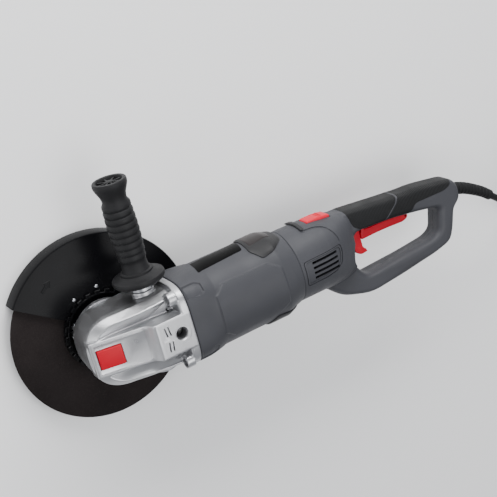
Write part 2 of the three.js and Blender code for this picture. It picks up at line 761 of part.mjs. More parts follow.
// The D-shaped loop with rounded edges; inset makes it thinner all round.
function loop(inset) {
  const shape = outline(LOOP_OUTER);
  shape.holes.push(outline(LOOP_HOLE, THREE.Path));
  const depth = LOOP_HALF_DEPTH - inset;
  const round = LOOP_ROUND - inset;
  return slab("z", shape, -depth, depth, { round, inset, steps: inset ? 1 : 2, curve: 2 });
}

function barrel(inset, front = HANDLE_START) {
  const at = (x, halfY, halfZ, square, centreY) =>
    section(x, halfY - inset, halfZ - inset, square, centreY);
  return loft([
    at(front, 47, 45.5, 2, 0),
    at(262, 46.5, 44.5, 2.1, 0),
    at(285, 44.5, 40, 2.5, -1),
    at(305, 42, 31, 3, -1),
    at(320 - inset, 38, 21, 3.4, 0),
  ]);
}

const SLOT = { from: 322.5, to: 412.5 }; // trigger opening
const HANDLE_SCREWS = [[350, -65], [460, -50], [464, -1]];

// Where the rubber lies: the grip's top and sides, ending on a slant at the front.
function gripRegion(grow) {
  const region = outline([
    [315 - grow, 60], [325 - grow, 16 - grow], [334, 9.5 - grow], [380, 6 - grow],
    [415, 1.5 - grow], [421, 12 - grow], [470, 11 - grow], [481 + grow, 16], [481 + grow, 60],
  ]);
  return slab("z", region, -30, 30);
}

function triggerSlot() {
  const halfWidth = TRIGGER_HALF_WIDTH + 0.8;
  return block([SLOT.from, SLOT.to], [-12, 16], [-halfWidth, halfWidth]);
}

function ventSlots() {
  return [8, 1.5, -5, -11.5].map((y) => block([243, 281], [y - 1.6, y + 1.6], [-60, 60]));
}

function handleShell() {
  const handHole = slab("z", outline(LOOP_HOLE), -50, 50);
  const whole = join(loop(0), cut(barrel(0), handHole));
  const core = loop(RUBBER + GAP);
  const stopLip = ring("x", 40, 49.5, 250, 255.5, [0, 0, 0], 24)
    .intersect(block([249, 257], [44.6, 60], [-30, 30]));
  const outside = join(cut(whole, gripRegion(GAP)), core, stopLip);
  const behindHole = block([304.5, 330], [-60, 4], [-50, 50]);
  const hollow = [
    loop(RUBBER + HANDLE_WALL),
    cut(barrel(HANDLE_WALL, 241), behindHole),
    rod("x", SWIVEL_LIP_RADIUS + 0.9, 235, 250, [0, 0, 0], 24),
    rod("x", SWIVEL_NECK_RADIUS + 0.9, 225, 250, [0, 0, 0], 24),
  ];
  const posts = HANDLE_SCREWS.map(([x, y]) => rod("z", 4.6, -14, 14, [x, y, 0], 8));
  const openings = [
    ...HANDLE_SCREWS.map(([x, y]) => rod("z", 2.2, -30, 9, [x, y, 0], 8)),
    ...HANDLE_SCREWS.map(([x, y]) => rod("z", 3.7, -30, -12.5, [x, y, 0])),
    ...ventSlots(),
    triggerSlot(),
    block([265, 300.5], [37, 60], [-10.5, 10.5]),
    rod("x", 7.9, 484, 500),
    rod("x", 11.2, 470, 486.6),
  ];
  return cut(join(cut(outside, ...hollow), ...posts), ...openings);
}

function half(made, side) {
  const zs = side > 0 ? [GAP / 2, 80] : [-80, -GAP / 2];
  return made.intersect(block([200, 520], [-100, 100], zs));
}

function gripCover() {
  const skin = cut(join(loop(0), barrel(0)), loop(RUBBER), barrel(RUBBER));
  return cut(skin.intersect(gripRegion(0)), triggerSlot());
}

function swivelButton() {
  const profile = outline([[266, 39], [299.5, 39], [299.5, 45.2, 3], [285, 46.8, 5], [266, 47.2, 3]]);
  return slab("z", profile, -9.5, 9.5, { round: 1.5, steps: 1 });
}

// A leaf of spring steel under the button, its ends held behind the shells' walls.
function swivelSpring() {
  const leaf = outline([
    [262, 35.2], [272, 33.4], [294, 32.8], [303, 33.9],
    [303, 34.7], [294, 33.7], [272, 34.3], [262, 36.1],
  ]);
  return slab("z", leaf, -6, 6);
}

function trigger() {
  const profile = outline([
    [337.5, -1, 0], [337.5, -8, 2.5], [372, -7.5, 20], [404, -9.5, 5], [411.5, -6, 3],
    [411.5, 0.5, 3], [372, 3, 4], [345, 4, 0], [343, 9, 0], [339.5, 9, 0], [339.5, 4, 0],
  ]);
  const paddle = slab("z", profile, -TRIGGER_HALF_WIDTH, TRIGGER_HALF_WIDTH, { round: 1.2, steps: 1 });
  return cut(paddle, rod("z", 1.6, -10, 10, [TRIGGER_PIVOT_X, TRIGGER_PIVOT_Y, 0], 8));
}

function lockOffLever() {
  const profile = outline([
    [327, 6, 3], [325.5, -10, 6], [327, -22, 4], [333, -26, 3], [342, -25.5, 0], [341, -22, 0],
    [337, -19, 5], [336.5, 6, 3],
  ]);
  return slab("z", profile, -6.4, 6.4, { round: 1.6, steps: 1 });
}

function switchBody() {
  const body = block([349, 384], [12.8, 25], [-9.5, 9.5]);
  const plunger = block([360, 366], [10.5, 13], [-3, 3]);
  const terminals = [-6, 6].map((z) => block([383, 389], [16, 18.5], [z - 1.5, z + 1.5]));
  return join(body, plunger, ...terminals);
}

function handleScrew([x, y]) {
  return zScrew(1.9, 3.3, -15.5, -12.8, 8, [x, y]);
}

// ---------------------------------------------------------------- cord

// The moulded relief leaves the handle straight and bends gently to the side.
const RELIEF_PATH = new THREE.CatmullRomCurve3([
  [RELIEF_START, 0, 0], [486, 0, 0], [494, -0.5, 0], [508, -5.5, 0], [522, -13, 0], [536, -22, 0],
  [547, -31, -0.5],
].map((point) => new THREE.Vector3(...point)));

function strainRelief() {
  const rings = [];
  const steps = 18;
  const sides = 10;
  for (let i = 0; i <= steps; i += 1) {
    const share = i / steps;
    const centre = RELIEF_PATH.getPointAt(share);
    const along = RELIEF_PATH.getTangentAt(share);
    const across = new THREE.Vector3().crossVectors(Z, along).normalize();
    const up = new THREE.Vector3().crossVectors(along, across);
    const ringRadius = reliefRadius(share, i);
    rings.push(Array.from({ length: sides }, (_, k) => {
      const turn = (k / sides) * 2 * Math.PI;
      return centre.clone()
        .addScaledVector(across, ringRadius * Math.cos(turn))
        .addScaledVector(up, ringRadius * Math.sin(turn));
    }));
  }
  return loft(rings);
}

// A flange inside the handle, a plain stretch through the wall, then ribs on a taper.
function reliefRadius(share, index) {
  if (share < 0.08) {
    return 10.5;
  }
  if (share < 0.2) {
    return 7.4;
  }
  const taper = 8.8 - 1.6 * share;
  return index % 2 ? taper : taper - 0.9;
}

// The cord from the relief down to the floor and into the coil's lowest turn.
const CORD_ROUTE = [
  [548.3, -32.1, -0.7], [553, -36, -1.2], [562, -43.6, -3.4], [573, -53, -8.5], [584, -62.4, -16.5],
  [595, -71, -28], [606, -79, -43], [617, -87, -57.5], [628.5, -94.6, -70], [641, -101.8, -78.2],
  [654, -107.8, -81.8], [667, -112.6, -82.1], [680, -116, -82.1], [689, -118, -82.1],
];

function cordRun() {
  const path = new THREE.CatmullRomCurve3(CORD_ROUTE.map((point) => new THREE.Vector3(...point)));
  return solid(new THREE.ExtrudeGeometry(circle(CORD_RADIUS, 8), {
    steps: 26,
    extrudePath: path,
    bevelEnabled: false,
  }));
}

function cordCoil() {
  const [inner, outer] = [COIL_RADIUS - COIL_HALF_WIDTH, COIL_RADIUS + COIL_HALF_WIDTH];
  const corner = 4;
  const body = turned("z", [
    [inner + corner, COIL_BOTTOM], [outer - corner, COIL_BOTTOM], [outer, COIL_BOTTOM + corner],
    [outer, COIL_TOP - corner], [outer - corner, COIL_TOP], [inner + corner, COIL_TOP],
    [inner, COIL_TOP - corner], [inner, COIL_BOTTOM + corner],
  ], [COIL_X, COIL_Y, 0], 24);
  const entry = block([COIL_X - 52, COIL_X - 10], [COIL_Y - 70, COIL_Y - 41], [GUARD_FLOOR, -77.2]);
  return cut(body, entry);
}

// A hook-and-loop tie around the coil's turns.
function cordTie() {
  const [inner, outer] = [COIL_RADIUS - COIL_HALF_WIDTH, COIL_RADIUS + COIL_HALF_WIDTH];
  const sheet = 0.9;
  const bulge = 1.2; // room for the curve of the turns within the tie's width
  const around = block(
    [COIL_X - outer - GAP - sheet, COIL_X - inner + bulge + sheet],
    [COIL_Y - 7, COIL_Y + 7], [GUARD_FLOOR, COIL_TOP + GAP + sheet]);
  const inside = block(
    [COIL_X - outer - GAP, COIL_X - inner + bulge],
    [COIL_Y - 10, COIL_Y + 10], [COIL_BOTTOM - GAP, COIL_TOP + GAP]);
  return cut(around, inside);
}

const PLUG_X = COIL_X + 40;
const PLUG_Y = COIL_Y + 14;
const PLUG_Z = COIL_TOP + 19.4;

// A round two-pin earthed mains plug lying on the coil, its tail towards the last turn.
function plug() {
  const at = [PLUG_X, PLUG_Y, PLUG_Z];
  const head = turned("y", [
    [0, -34], [5.6, -34], [6.4, -12], [13, -6], [18.6, 0], [18.9, 12], [17.6, 22], [0, 22],
  ], at, 16);
  const flats = [-1, 1].map((side) => {
    const xs = [side * 15.6, side * 20].sort((a, b) => a - b).map((x) => x + PLUG_X);
    return block(xs, [PLUG_Y - 20, PLUG_Y + 30], [PLUG_Z - 20, PLUG_Z + 20]);
  });
  const pins = [-9.5, 9.5].map((x) => rod("y", 2.4, 21, 40, [PLUG_X + x, PLUG_Y, PLUG_Z], 8));
  return join(cut(head, ...flats), ...pins);
}

// ---------------------------------------------------------------- side handle

function sideHandleGrip() {
  const at = [SIDE_BOSS_X, 0, 0];
  const end = SIDE_HANDLE_END;
  return turned("y", [
    [7.5, 58.6], [15, 58.6], [SIDE_FLANGE_RADIUS - 3, 63], [SIDE_FLANGE_RADIUS, 67],
    [SIDE_FLANGE_RADIUS - 1.5, 71], [23, 74], [15, 84], [18.5, 118], [17.5, 144], [14.5, 167],
    [21, 185], [20, end], [16, end], [15, end - 9], [0, end - 9], [0, 70], [7.5, 70],
  ], at, 18);
}

function sideHandleStud() {
  return turned("y", [
    [0, 41], [THREAD_RADIUS, 41], [THREAD_RADIUS, SIDE_BOSS_FACE + GAP], [13, SIDE_BOSS_FACE + GAP],
    [13, 58.3], [THREAD_RADIUS, 58.3], [THREAD_RADIUS, 69.6], [0, 69.6],
  ], [SIDE_BOSS_X, 0, 0], 16);
}

// ---------------------------------------------------------------- put together

piece("gear_housing", gearHousing(), CAST_ALUMINIUM);
piece("bearing_cover", bearingCover(), CAST_ALUMINIUM);
COVER_SCREWS.forEach((place, i) => {
  piece(`cover_screw_${i + 1}`, zScrew(2.2, 4.2, -52.8, -49.3, -41, place), STEEL);
});
piece("bearing_plate", bearingPlate(), CAST_ALUMINIUM);
piece("spindle", spindle(), STEEL);
piece("spindle_bearing", bearing("z", SPINDLE_RADIUS + GAP, 20, -59, -47), STEEL);
piece("spindle_bush", ring("z", 6 + GAP, 9, 0, 12.7, [0, 0, 0], 16), STEEL);
piece("crown_gear", crownGear(), STEEL);
piece("inner_flange", innerFlange(), STEEL);
piece("disc", disc(), ABRASIVE);
piece("outer_nut", outerNut(), STEEL);

piece("guard", guard(), BLACK_STEEL);
piece("guard_clamp_band", clampBand(), STEEL);
piece("guard_clamp_screw", clampScrew(), STEEL);

piece("spindle_lock_button", lockButton(), RED_PLASTIC);
const lockPinTop = LOCK_POCKET_ROOF - GAP;
piece("spindle_lock_pin", rod("z", 2.8, -7, lockPinTop, [LOCK_PIN_X, 0, 0]), STEEL);
piece("spindle_lock_spring", spring(4.6, 0.45, 11.8, lockPinTop, 5, [LOCK_PIN_X, 0, 0]), STEEL);

piece("armature_shaft", armatureShaft(), STEEL);
piece("pinion", pinion(), STEEL);
piece("front_bearing", bearing("x", SHAFT_RADIUS + GAP, 17.7, 58.5, 69), STEEL);
piece("rear_bearing", bearing("x", SHAFT_RADIUS + GAP, 13, 203, 213), STEEL);
piece("fan", fan(), BLACK_PLASTIC);
piece("armature_core", armatureCore(), STEEL);
piece("armature_windings", armatureWindings(), COPPER);
piece("commutator", commutator(), COPPER);
piece("stator_core", stator(), STEEL);
piece("field_coil_upper", fieldCoil(1), COPPER);
piece("field_coil_lower", fieldCoil(-1), COPPER);
for (const [name, side] of [["left", 1], ["right", -1]]) {
  piece(`brush_holder_${name}`, brushHolder(side), BLACK_PLASTIC);
  piece(`carbon_brush_${name}`, carbonBrush(side), CARBON);
  piece(`service_cover_${name}`, serviceCover(side), SMOKED_PLASTIC);
}
piece("motor_housing", motorHousing(), GREY_PLASTIC);
FLANGE_SCREWS.forEach((place, i) => {
  piece(`flange_screw_${i + 1}`, flangeScrew(place), STEEL);
});

const shells = handleShell();
piece("handle_shell_upper", half(shells, 1), GREY_PLASTIC);
piece("handle_shell_lower", half(shells, -1), GREY_PLASTIC);
piece("grip_cover", gripCover(), BLACK_RUBBER);
piece("swivel_lock_button", swivelButton(), RED_PLASTIC);
piece("swivel_lock_spring", swivelSpring(), STEEL);
piece("trigger", trigger(), RED_PLASTIC);
piece("lock_off_lever", lockOffLever(), RED_PLASTIC);
piece("switch_body", switchBody(), BLACK_PLASTIC);
HANDLE_SCREWS.forEach((place, i) => {
  piece(`handle_screw_${i + 1}`, handleScrew(place), STEEL);
});

piece("strain_relief", strainRelief(), BLACK_RUBBER);
piece("cord_run", cordRun(), BLACK_RUBBER);
piece("cord_coil", cordCoil(), BLACK_RUBBER);
piece("cord_tie", cordTie(), BLACK_PLASTIC);
piece("plug", plug(), BLACK_RUBBER);

piece("side_handle_grip", sideHandleGrip(), BLACK_PLASTIC);
piece("side_handle_stud", sideHandleStud(), STEEL);

export default grinder;
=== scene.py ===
"""A large two-handed angle grinder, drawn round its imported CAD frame.

Shapes are worked out in millimetres from the point where the spindle axis crosses the motor
axis: +X runs along the motor to the rear handle, +Y is the side handle's side, +Z is up, away
from the disc. in_row() turns them into the frame's metres.
"""

import json
import math

import bmesh
import bpy
from mathutils import Matrix, Vector


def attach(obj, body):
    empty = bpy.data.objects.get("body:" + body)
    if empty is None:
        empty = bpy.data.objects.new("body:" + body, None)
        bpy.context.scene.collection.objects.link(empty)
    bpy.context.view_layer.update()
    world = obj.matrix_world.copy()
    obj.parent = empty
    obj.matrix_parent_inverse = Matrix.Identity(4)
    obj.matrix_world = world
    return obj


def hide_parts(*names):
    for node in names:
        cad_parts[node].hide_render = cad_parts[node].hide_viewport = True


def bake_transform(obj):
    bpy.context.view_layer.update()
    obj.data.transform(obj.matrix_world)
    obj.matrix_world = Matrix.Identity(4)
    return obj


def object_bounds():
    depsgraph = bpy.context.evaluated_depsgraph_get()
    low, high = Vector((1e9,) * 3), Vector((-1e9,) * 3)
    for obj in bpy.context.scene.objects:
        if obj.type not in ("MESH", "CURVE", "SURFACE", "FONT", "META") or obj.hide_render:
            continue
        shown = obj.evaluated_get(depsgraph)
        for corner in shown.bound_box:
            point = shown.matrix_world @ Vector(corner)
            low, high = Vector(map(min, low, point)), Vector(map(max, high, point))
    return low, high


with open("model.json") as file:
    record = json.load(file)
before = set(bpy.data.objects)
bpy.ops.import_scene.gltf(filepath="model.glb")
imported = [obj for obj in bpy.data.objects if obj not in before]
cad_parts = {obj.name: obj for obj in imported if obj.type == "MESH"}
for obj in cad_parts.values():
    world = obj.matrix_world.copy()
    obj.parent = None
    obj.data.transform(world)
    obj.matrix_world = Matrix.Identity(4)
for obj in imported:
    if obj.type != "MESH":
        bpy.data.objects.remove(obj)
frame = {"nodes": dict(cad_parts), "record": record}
cad_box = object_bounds()

MM = 0.001
record = frame["record"]
joints = {joint["name"]: joint for joint in record["behaviour"]["joints"]}
MOTOR_AXIS = joints["armature_spin"]["pos_m"][2]
SWIVEL_X = joints["handle_swivel"]["pos_m"][0] / MM


def in_row(x, y, z):
    return Vector((x * MM, y * MM, z * MM + MOTOR_AXIS))


def eased(t):
    """A smooth step from 0 to 1, level at both ends."""
    t = min(1, max(0, t))
    return t * t * (3 - 2 * t)


# ------------------------------------------------------------------ solids

CORNER_STEPS = 5  # straight pieces in each rounded corner of an outline
SHARP_EDGE = math.radians(28)
PARTING_GAP = 0.15  # between the handle's two shells, on each side of their parting plane


def shell(points, faces):
    made = bmesh.new()
    corners = [made.verts.new(in_row(*point)) for point in points]
    for face in faces:
        made.faces.new([corners[i] for i in face])
    bmesh.ops.remove_doubles(made, verts=made.verts, dist=1e-6)
    bmesh.ops.recalc_face_normals(made, faces=made.faces)
    return made


def loft(rings, closed=False):
    """A skin over rings of points; closed joins the last ring to the first."""
    count = len(rings[0])
    faces = []
    for r in range(len(rings) if closed else len(rings) - 1):
        low, high = r * count, (r + 1) % len(rings) * count
        for i in range(count):
            j = (i + 1) % count
            faces.append((low + i, low + j, high + j, high + i))
    if not closed:
        faces.append(tuple(reversed(range(count))))
        faces.append(tuple(range((len(rings) - 1) * count, len(rings) * count)))
    return shell([point for ring in rings for point in ring], faces)


def on_axis(axis, radius, turn, along, at):
    """The point at a radius, an angle and a distance along an axis through at."""
    a, b = radius * math.cos(turn), radius * math.sin(turn)
    local = {"x": (along, a, b), "y": (b, along, a), "z": (a, b, along)}[axis]
    return tuple(p + q for p, q in zip(local, at))


def turned(axis, profile, at=(0, 0, 0), sides=64, start=0, sweep=360):
    """A turned piece; profile points are (radius, distance along the axis)."""
    full = sweep == 360
    rings = []
    for i in range(sides if full else sides + 1):
        turn = math.radians(start + sweep * i / sides)
        rings.append([on_axis(axis, radius, turn, along, at) for radius, along in profile])
    return loft(rings, closed=full)


def rod(axis, radius, low, high, at=(0, 0, 0), sides=32):
    return turned(axis, [(0, low), (radius, low), (radius, high), (0, high)], at, sides)


def prism(axis, outline, low, high):
    """Outline points are (x, y) across z, (x, z) across y and (y, z) across x."""
    place = {
        "z": lambda u, v, w: (u, v, w),
        "y": lambda u, v, w: (u, w, v),
        "x": lambda u, v, w: (w, u, v),
    }[axis]
    return loft([[place(u, v, w) for u, v in outline] for w in (low, high)])


def box(xs, ys, zs):
    outline = [(xs[0], ys[0]), (xs[1], ys[0]), (xs[1], ys[1]), (xs[0], ys[1])]
    return prism("z", outline, *zs)


def rounded(corners):
    """Outline points through corners (u, v, reach of the corner's rounding)."""
    points = []
    for i, (u, v, *rest) in enumerate(corners):
        reach = rest[0] if rest else 0
        corner = Vector((u, v))
        back = Vector(corners[i - 1][:2]) - corner
        ahead = Vector(corners[(i + 1) % len(corners)][:2]) - corner
        reach = min(reach, back.length * 0.48, ahead.length * 0.48)
        if not reach:
            points.append((u, v))
            continue
        start = corner + back.normalized() * reach
        end = corner + ahead.normalized() * reach
        for k in range(CORNER_STEPS + 1):
            t = k / CORNER_STEPS
            point = start * (1 - t) ** 2 + corner * 2 * t * (1 - t) + end * t**2
            points.append(tuple(point))
    return points


def soften(made, width, segments=2):
    """Bevels the sharp edges of a solid."""
    edges = [e for e in made.edges if len(e.link_faces) == 2 and e.calc_face_angle() > SHARP_EDGE]
    bmesh.ops.bevel(
        made, geom=edges, offset=width * MM, segments=segments, profile=0.5,
        affect="EDGES", clamp_overlap=True,
    )
    return made


def merge(*parts):
    whole = parts[0]
    for part in parts[1:]:
        passing = bpy.data.meshes.new("passing")
        part.to_mesh(passing)
        whole.from_mesh(passing)
        bpy.data.meshes.remove(passing)
        part.free()
    return whole


def turn_about(made, axis, angle, at=(0, 0, 0)):
    matrix = Matrix.Rotation(math.radians(angle), 3, axis.upper())
    bmesh.ops.rotate(made, verts=made.verts, cent=in_row(*at), matrix=matrix)
    return made


def as_object(name, made):
    mesh = bpy.data.meshes.new(name)
    made.to_mesh(mesh)
    made.free()
    made_object = bpy.data.objects.new(name, mesh)
    bpy.context.collection.objects.link(made_object)
    return made_object


def taken_back(thing):
    """An object's mesh as a loose solid again, with the object removed."""
    made = bmesh.new()
    made.from_mesh(thing.data)
    bpy.data.objects.remove(thing)
    return made


def settle(thing):
    """Makes an object's modifiers permanent."""
    graph = bpy.context.evaluated_depsgraph_get()
    mesh = bpy.data.meshes.new_from_object(thing.evaluated_get(graph))
    thing.modifiers.clear()
    thing.data = mesh
    return thing


def fused(name, made, voxel, easing, keep):
    """Overlapping solids as one casting, with its edges and inside corners eased."""
    thing = as_object(name, made)
    fuse = thing.modifiers.new("fuse", "REMESH")
    fuse.mode = "VOXEL"
    fuse.voxel_size = voxel * MM
    ease = thing.modifiers.new("ease", "SMOOTH")
    ease.factor = 0.5
    ease.iterations = easing
    thin = thing.modifiers.new("thin", "DECIMATE")
    thin.ratio = keep
    return settle(thing)


def combine(thing, tool, operation):
    step = thing.modifiers.new("combine", "BOOLEAN")
    step.operation = operation
    step.solver = "EXACT"
    step.object = tool
    settle(thing)
    bpy.data.objects.remove(tool)
    return thing


def carve(thing, cutter):
    return combine(thing, as_object("cutter", cutter), "DIFFERENCE")


def keep_side(thing, above):
    """The half of an object's solid above or below the handle's parting plane."""
    made = bmesh.new()
    made.from_mesh(thing.data)
    side = 1 if above else -1
    cut = bmesh.ops.bisect_plane(
        made, geom=made.verts[:] + made.edges[:] + made.faces[:],
        plane_co=in_row(0, 0, side * PARTING_GAP), plane_no=(0, 0, -side), clear_outer=True,
    )
    edges = [e for e in cut["geom_cut"] if isinstance(e, bmesh.types.BMEdge)]
    bmesh.ops.triangle_fill(made, edges=edges, use_beauty=True)
    bmesh.ops.recalc_face_normals(made, faces=made.faces)
    return made


def show(thing, name, body, material, replaces=(), smooth=38):
    """Finishes a piece: its name, shading, material, and what it rides on and replaces."""
    if isinstance(thing, bmesh.types.BMesh):
        thing = as_object(name, thing)
    thing.name = name
    thing.data.materials.clear()
    thing.data.materials.append(material)
    thing.data.shade_smooth()
    thing.data.set_sharp_from_angle(angle=math.radians(smooth))
    if body:
        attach(thing, body)
    if replaces:
        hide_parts(*replaces)
    return thing


def curve_through(points, per_span):
    """Points along a smooth curve through the given ones."""
    knots = [Vector(p) for p in points]
    knots = [knots[0] * 2 - knots[1]] + knots + [knots[-1] * 2 - knots[-2]]
    out = []
    for a, b, c, d in zip(knots, knots[1:], knots[2:], knots[3:]):
        for k in range(per_span):
            t = k / per_span
            out.append(0.5 * (
                2 * b + (c - a) * t + (2 * a - 5 * b + 4 * c - d) * t**2
                + (3 * b - a - 3 * c + d) * t**3
            ))
    return out + [knots[-2]]


def tube(path, radius_at, sides):
    """A round skin along a path in millimetres, its radius given by the share of the length."""
    lengths = [0]
    for a, b in zip(path, path[1:]):
        lengths.append(lengths[-1] + (b - a).length)
    side = Vector((0, 0, 1))
    rings = []
    for i, point in enumerate(path):
        along = (path[min(i + 1, len(path) - 1)] - path[max(i - 1, 0)]).normalized()
        side = (side - along * side.dot(along)).normalized()
        across = along.cross(side)
        r = radius_at(lengths[i] / lengths[-1])
        rings.append([
            tuple(point + side * r * math.cos(a) + across * r * math.sin(a))
            for a in (2 * math.pi * k / sides for k in range(sides))
        ])
    return loft(rings)


# ------------------------------------------------------------------ materials


def finish(
    name, base, roughness, metallic, grain, bump, mottle,
    wear=None, speckle=None, streaks=0.0, ribs=False, shine=0.3, gloss_change=0.07,
):
    """A surface with fine grain, a slow change of colour and gloss, and optional wear.

    grain is the number of bumps in a metre and bump their strength; mottle is the share by
    which the colour changes; wear is the colour of rubbed edges; speckle is the colour of
    scattered grit.
    """
    material = bpy.data.materials.new(name)
    material.use_nodes = True
    nodes, links = material.node_tree.nodes, material.node_tree.links
    shader = nodes["Principled BSDF"]
    where = nodes.new("ShaderNodeTexCoord").outputs["Object"]

    def noise(scale, detail, stretch=None):
        texture = nodes.new("ShaderNodeTexNoise")
        texture.inputs["Scale"].default_value = scale
        texture.inputs["Detail"].default_value = detail
        if stretch:
            mapping = nodes.new("ShaderNodeMapping")
            mapping.inputs["Scale"].default_value = stretch
            links.new(where, mapping.inputs["Vector"])
            links.new(mapping.outputs["Vector"], texture.inputs["Vector"])
        else:
            links.new(where, texture.inputs["Vector"])
        return texture.outputs["Fac"]

    def spread(source, low, high, start=0.3, end=0.7):
        remap = nodes.new("ShaderNodeMapRange")
        remap.inputs["From Min"].default_value = start
        remap.inputs["From Max"].default_value = end
        remap.inputs["To Min"].default_value = low
        remap.inputs["To Max"].default_value = high
        links.new(source, remap.inputs["Value"])
        return remap.outputs["Result"]

    def mix(amount, first, second):
        blend = nodes.new("ShaderNodeMix")
        blend.data_type = "RGBA"
        links.new(amount, blend.inputs["Factor"])
        for value, socket in ((first, blend.inputs[6]), (second, blend.inputs[7])):
            if isinstance(value, tuple):
                socket.default_value = (*value, 1)
            else:
                links.new(value, socket)
        return blend.outputs[2]

    darker = tuple(channel * (1 - mottle) for channel in base)
    lighter = tuple(min(1, channel * (1 + mottle)) for channel in base)
    colour = mix(spread(noise(14, 4), 0, 1), darker, lighter)
    if streaks:
        lines = spread(noise(60, 2, (1, 30, 30)), 0, streaks)
        colour = mix(lines, colour, darker)
    if speckle:
        colour = mix(spread(noise(grain * 1.4, 1), 0, 1, 0.62, 0.7), colour, speckle)
    if wear:
        pointed = nodes.new("ShaderNodeNewGeometry").outputs["Pointiness"]
        rubbed = spread(pointed, 0, 1, 0.53, 0.6)
        patchy = nodes.new("ShaderNodeMath")
        patchy.operation = "MULTIPLY"
        links.new(rubbed, patchy.inputs[0])
        links.new(spread(noise(90, 3), 0, 1, 0.42, 0.6), patchy.inputs[1])
        colour = mix(patchy.outputs["Value"], colour, wear)
    links.new(colour, shader.inputs["Base Color"])
    glossiest, dullest = max(0.02, roughness - gloss_change), min(1, roughness + gloss_change)
    links.new(spread(noise(45, 5), glossiest, dullest), shader.inputs["Roughness"])
    shader.inputs["Metallic"].default_value = metallic
    shader.inputs["Specular IOR Level"].default_value = shine
    relief = nodes.new("ShaderNodeBump")
    relief.inputs["Strength"].default_value = bump
    relief.inputs["Distance"].default_value = 0.0006
    links.new(noise(grain, 2), relief.inputs["Height"])
    if ribs:
        bands = nodes.new("ShaderNodeTexWave")
        bands.inputs["Scale"].default_value = 150
        links.new(where, bands.inputs["Vector"])
        ridged = nodes.new("ShaderNodeBump")
        ridged.inputs["Strength"].default_value = 0.55
        ridged.inputs["Distance"].default_value = 0.0008
        links.new(bands.outputs["Fac"], ridged.inputs["Height"])
        links.new(relief.outputs["Normal"], ridged.inputs["Normal"])
        relief = ridged
    links.new(relief.outputs["Normal"], shader.inputs["Normal"])
    return material


# name, base colour, roughness, metallic, grain, bump, mottle
CAST = finish("cast_aluminium", (0.47, 0.473, 0.485), 0.34, 0.92, 1500, 0.16, 0.08,
              wear=(0.85, 0.85, 0.86), shine=0.5)
STEEL = finish("steel", (0.46, 0.47, 0.49), 0.28, 1.0, 2200, 0.06, 0.08, streaks=0.5, shine=0.5)
THREAD_STEEL = finish("thread", (0.05, 0.05, 0.052), 0.5, 0.8, 1800, 0.1, 0.2, shine=0.3)
GUARD_BLACK = finish("guard_enamel", (0.0028, 0.0028, 0.0034), 0.28, 0.0, 700, 0.02, 0.25,
                     shine=0.1, gloss_change=0.02)
GREY = finish("grey_housing", (0.040, 0.041, 0.047), 0.52, 0.0, 2600, 0.2, 0.08,
              wear=(0.062, 0.063, 0.070))
BLACK = finish("black_plastic", (0.010, 0.010, 0.011), 0.48, 0.0, 2200, 0.2, 0.2,
               wear=(0.024, 0.024, 0.026))
SMOKED = finish("smoked_cover", (0.014, 0.0105, 0.0105), 0.3, 0.0, 700, 0.03, 0.2, shine=0.22)
LABEL = finish("label_black", (0.001, 0.001, 0.0011), 0.3, 0.0, 500, 0.02, 0.2, shine=0.04)
RED = finish("red_plastic", (0.45, 0.0005, 0.014), 0.4, 0.0, 1600, 0.08, 0.07,
             wear=(0.55, 0.02, 0.025), shine=0.2)
# The same red plastic as RED, made lighter by painted light, for the swivel cap
RED_WITH_PAINTED_LIGHT = finish("lit_red_plastic", (0.62, 0.010, 0.032), 0.42, 0.0, 1600, 0.08, 0.07, shine=0.2)
RUBBER = finish("black_rubber", (0.007, 0.0072, 0.0078), 0.62, 0.0, 2400, 0.3, 0.2,
                wear=(0.018, 0.018, 0.019), shine=0.22)
GRIP = finish("grip_rubber", (0.007, 0.0073, 0.0078), 0.6, 0.0, 2400, 0.25, 0.2,
              wear=(0.016, 0.016, 0.017), ribs=True, shine=0.25)
GRIP_BLACK = finish("side_grip_rubber", (0.007, 0.007, 0.0078), 0.55, 0.0, 1600, 0.22, 0.2,
                    wear=(0.02, 0.02, 0.021), shine=0.25)
CORD_RUBBER = finish("cord_rubber", (0.006, 0.006, 0.0068), 0.5, 0.0, 1800, 0.2, 0.25, shine=0.25)
GRIT = finish("abrasive", (0.0155, 0.0125, 0.0125), 0.92, 0.0, 1300, 0.7, 0.22,
              speckle=(0.04, 0.034, 0.032), shine=0.1)
COPPER = finish("copper", (0.58, 0.26, 0.11), 0.34, 0.9, 1500, 0.2, 0.12, streaks=0.6, shine=0.5)
CARBON = finish("carbon", (0.02, 0.02, 0.022), 0.6, 0.1, 1500, 0.2, 0.15)

BY_SLOT = {
    "cast_aluminium": CAST, "steel": STEEL, "black_steel": GUARD_BLACK, "copper": COPPER,
    "grey_plastic": GREY, "black_plastic": BLACK, "smoked_plastic": SMOKED,
    "red_plastic": RED, "black_rubber": RUBBER, "abrasive": GRIT, "carbon": CARBON,
}
for entry in record["subparts"]:
    carried = frame["nodes"][entry["node"]]
    carried.data.materials.clear()
    carried.data.materials.append(BY_SLOT[entry["material_slot"]])

# ------------------------------------------------------------------ camera, floor and light

camera_data = bpy.data.cameras.new("camera")
camera_data.lens = 97.6
camera_at = (-0.43854, 0.62776, 1.47927)
camera = bpy.data.objects.new("camera", camera_data)
bpy.context.collection.objects.link(camera)
right = Vector((0.8412, -0.24811, 0.48043))
up = Vector((0.3832, 0.90041, -0.20595))
back = right.cross(up)
facing = Matrix((right, up, back)).transposed()
camera.matrix_world = Matrix.Translation(camera_at) @ facing.to_4x4()
bpy.context.scene.camera = camera

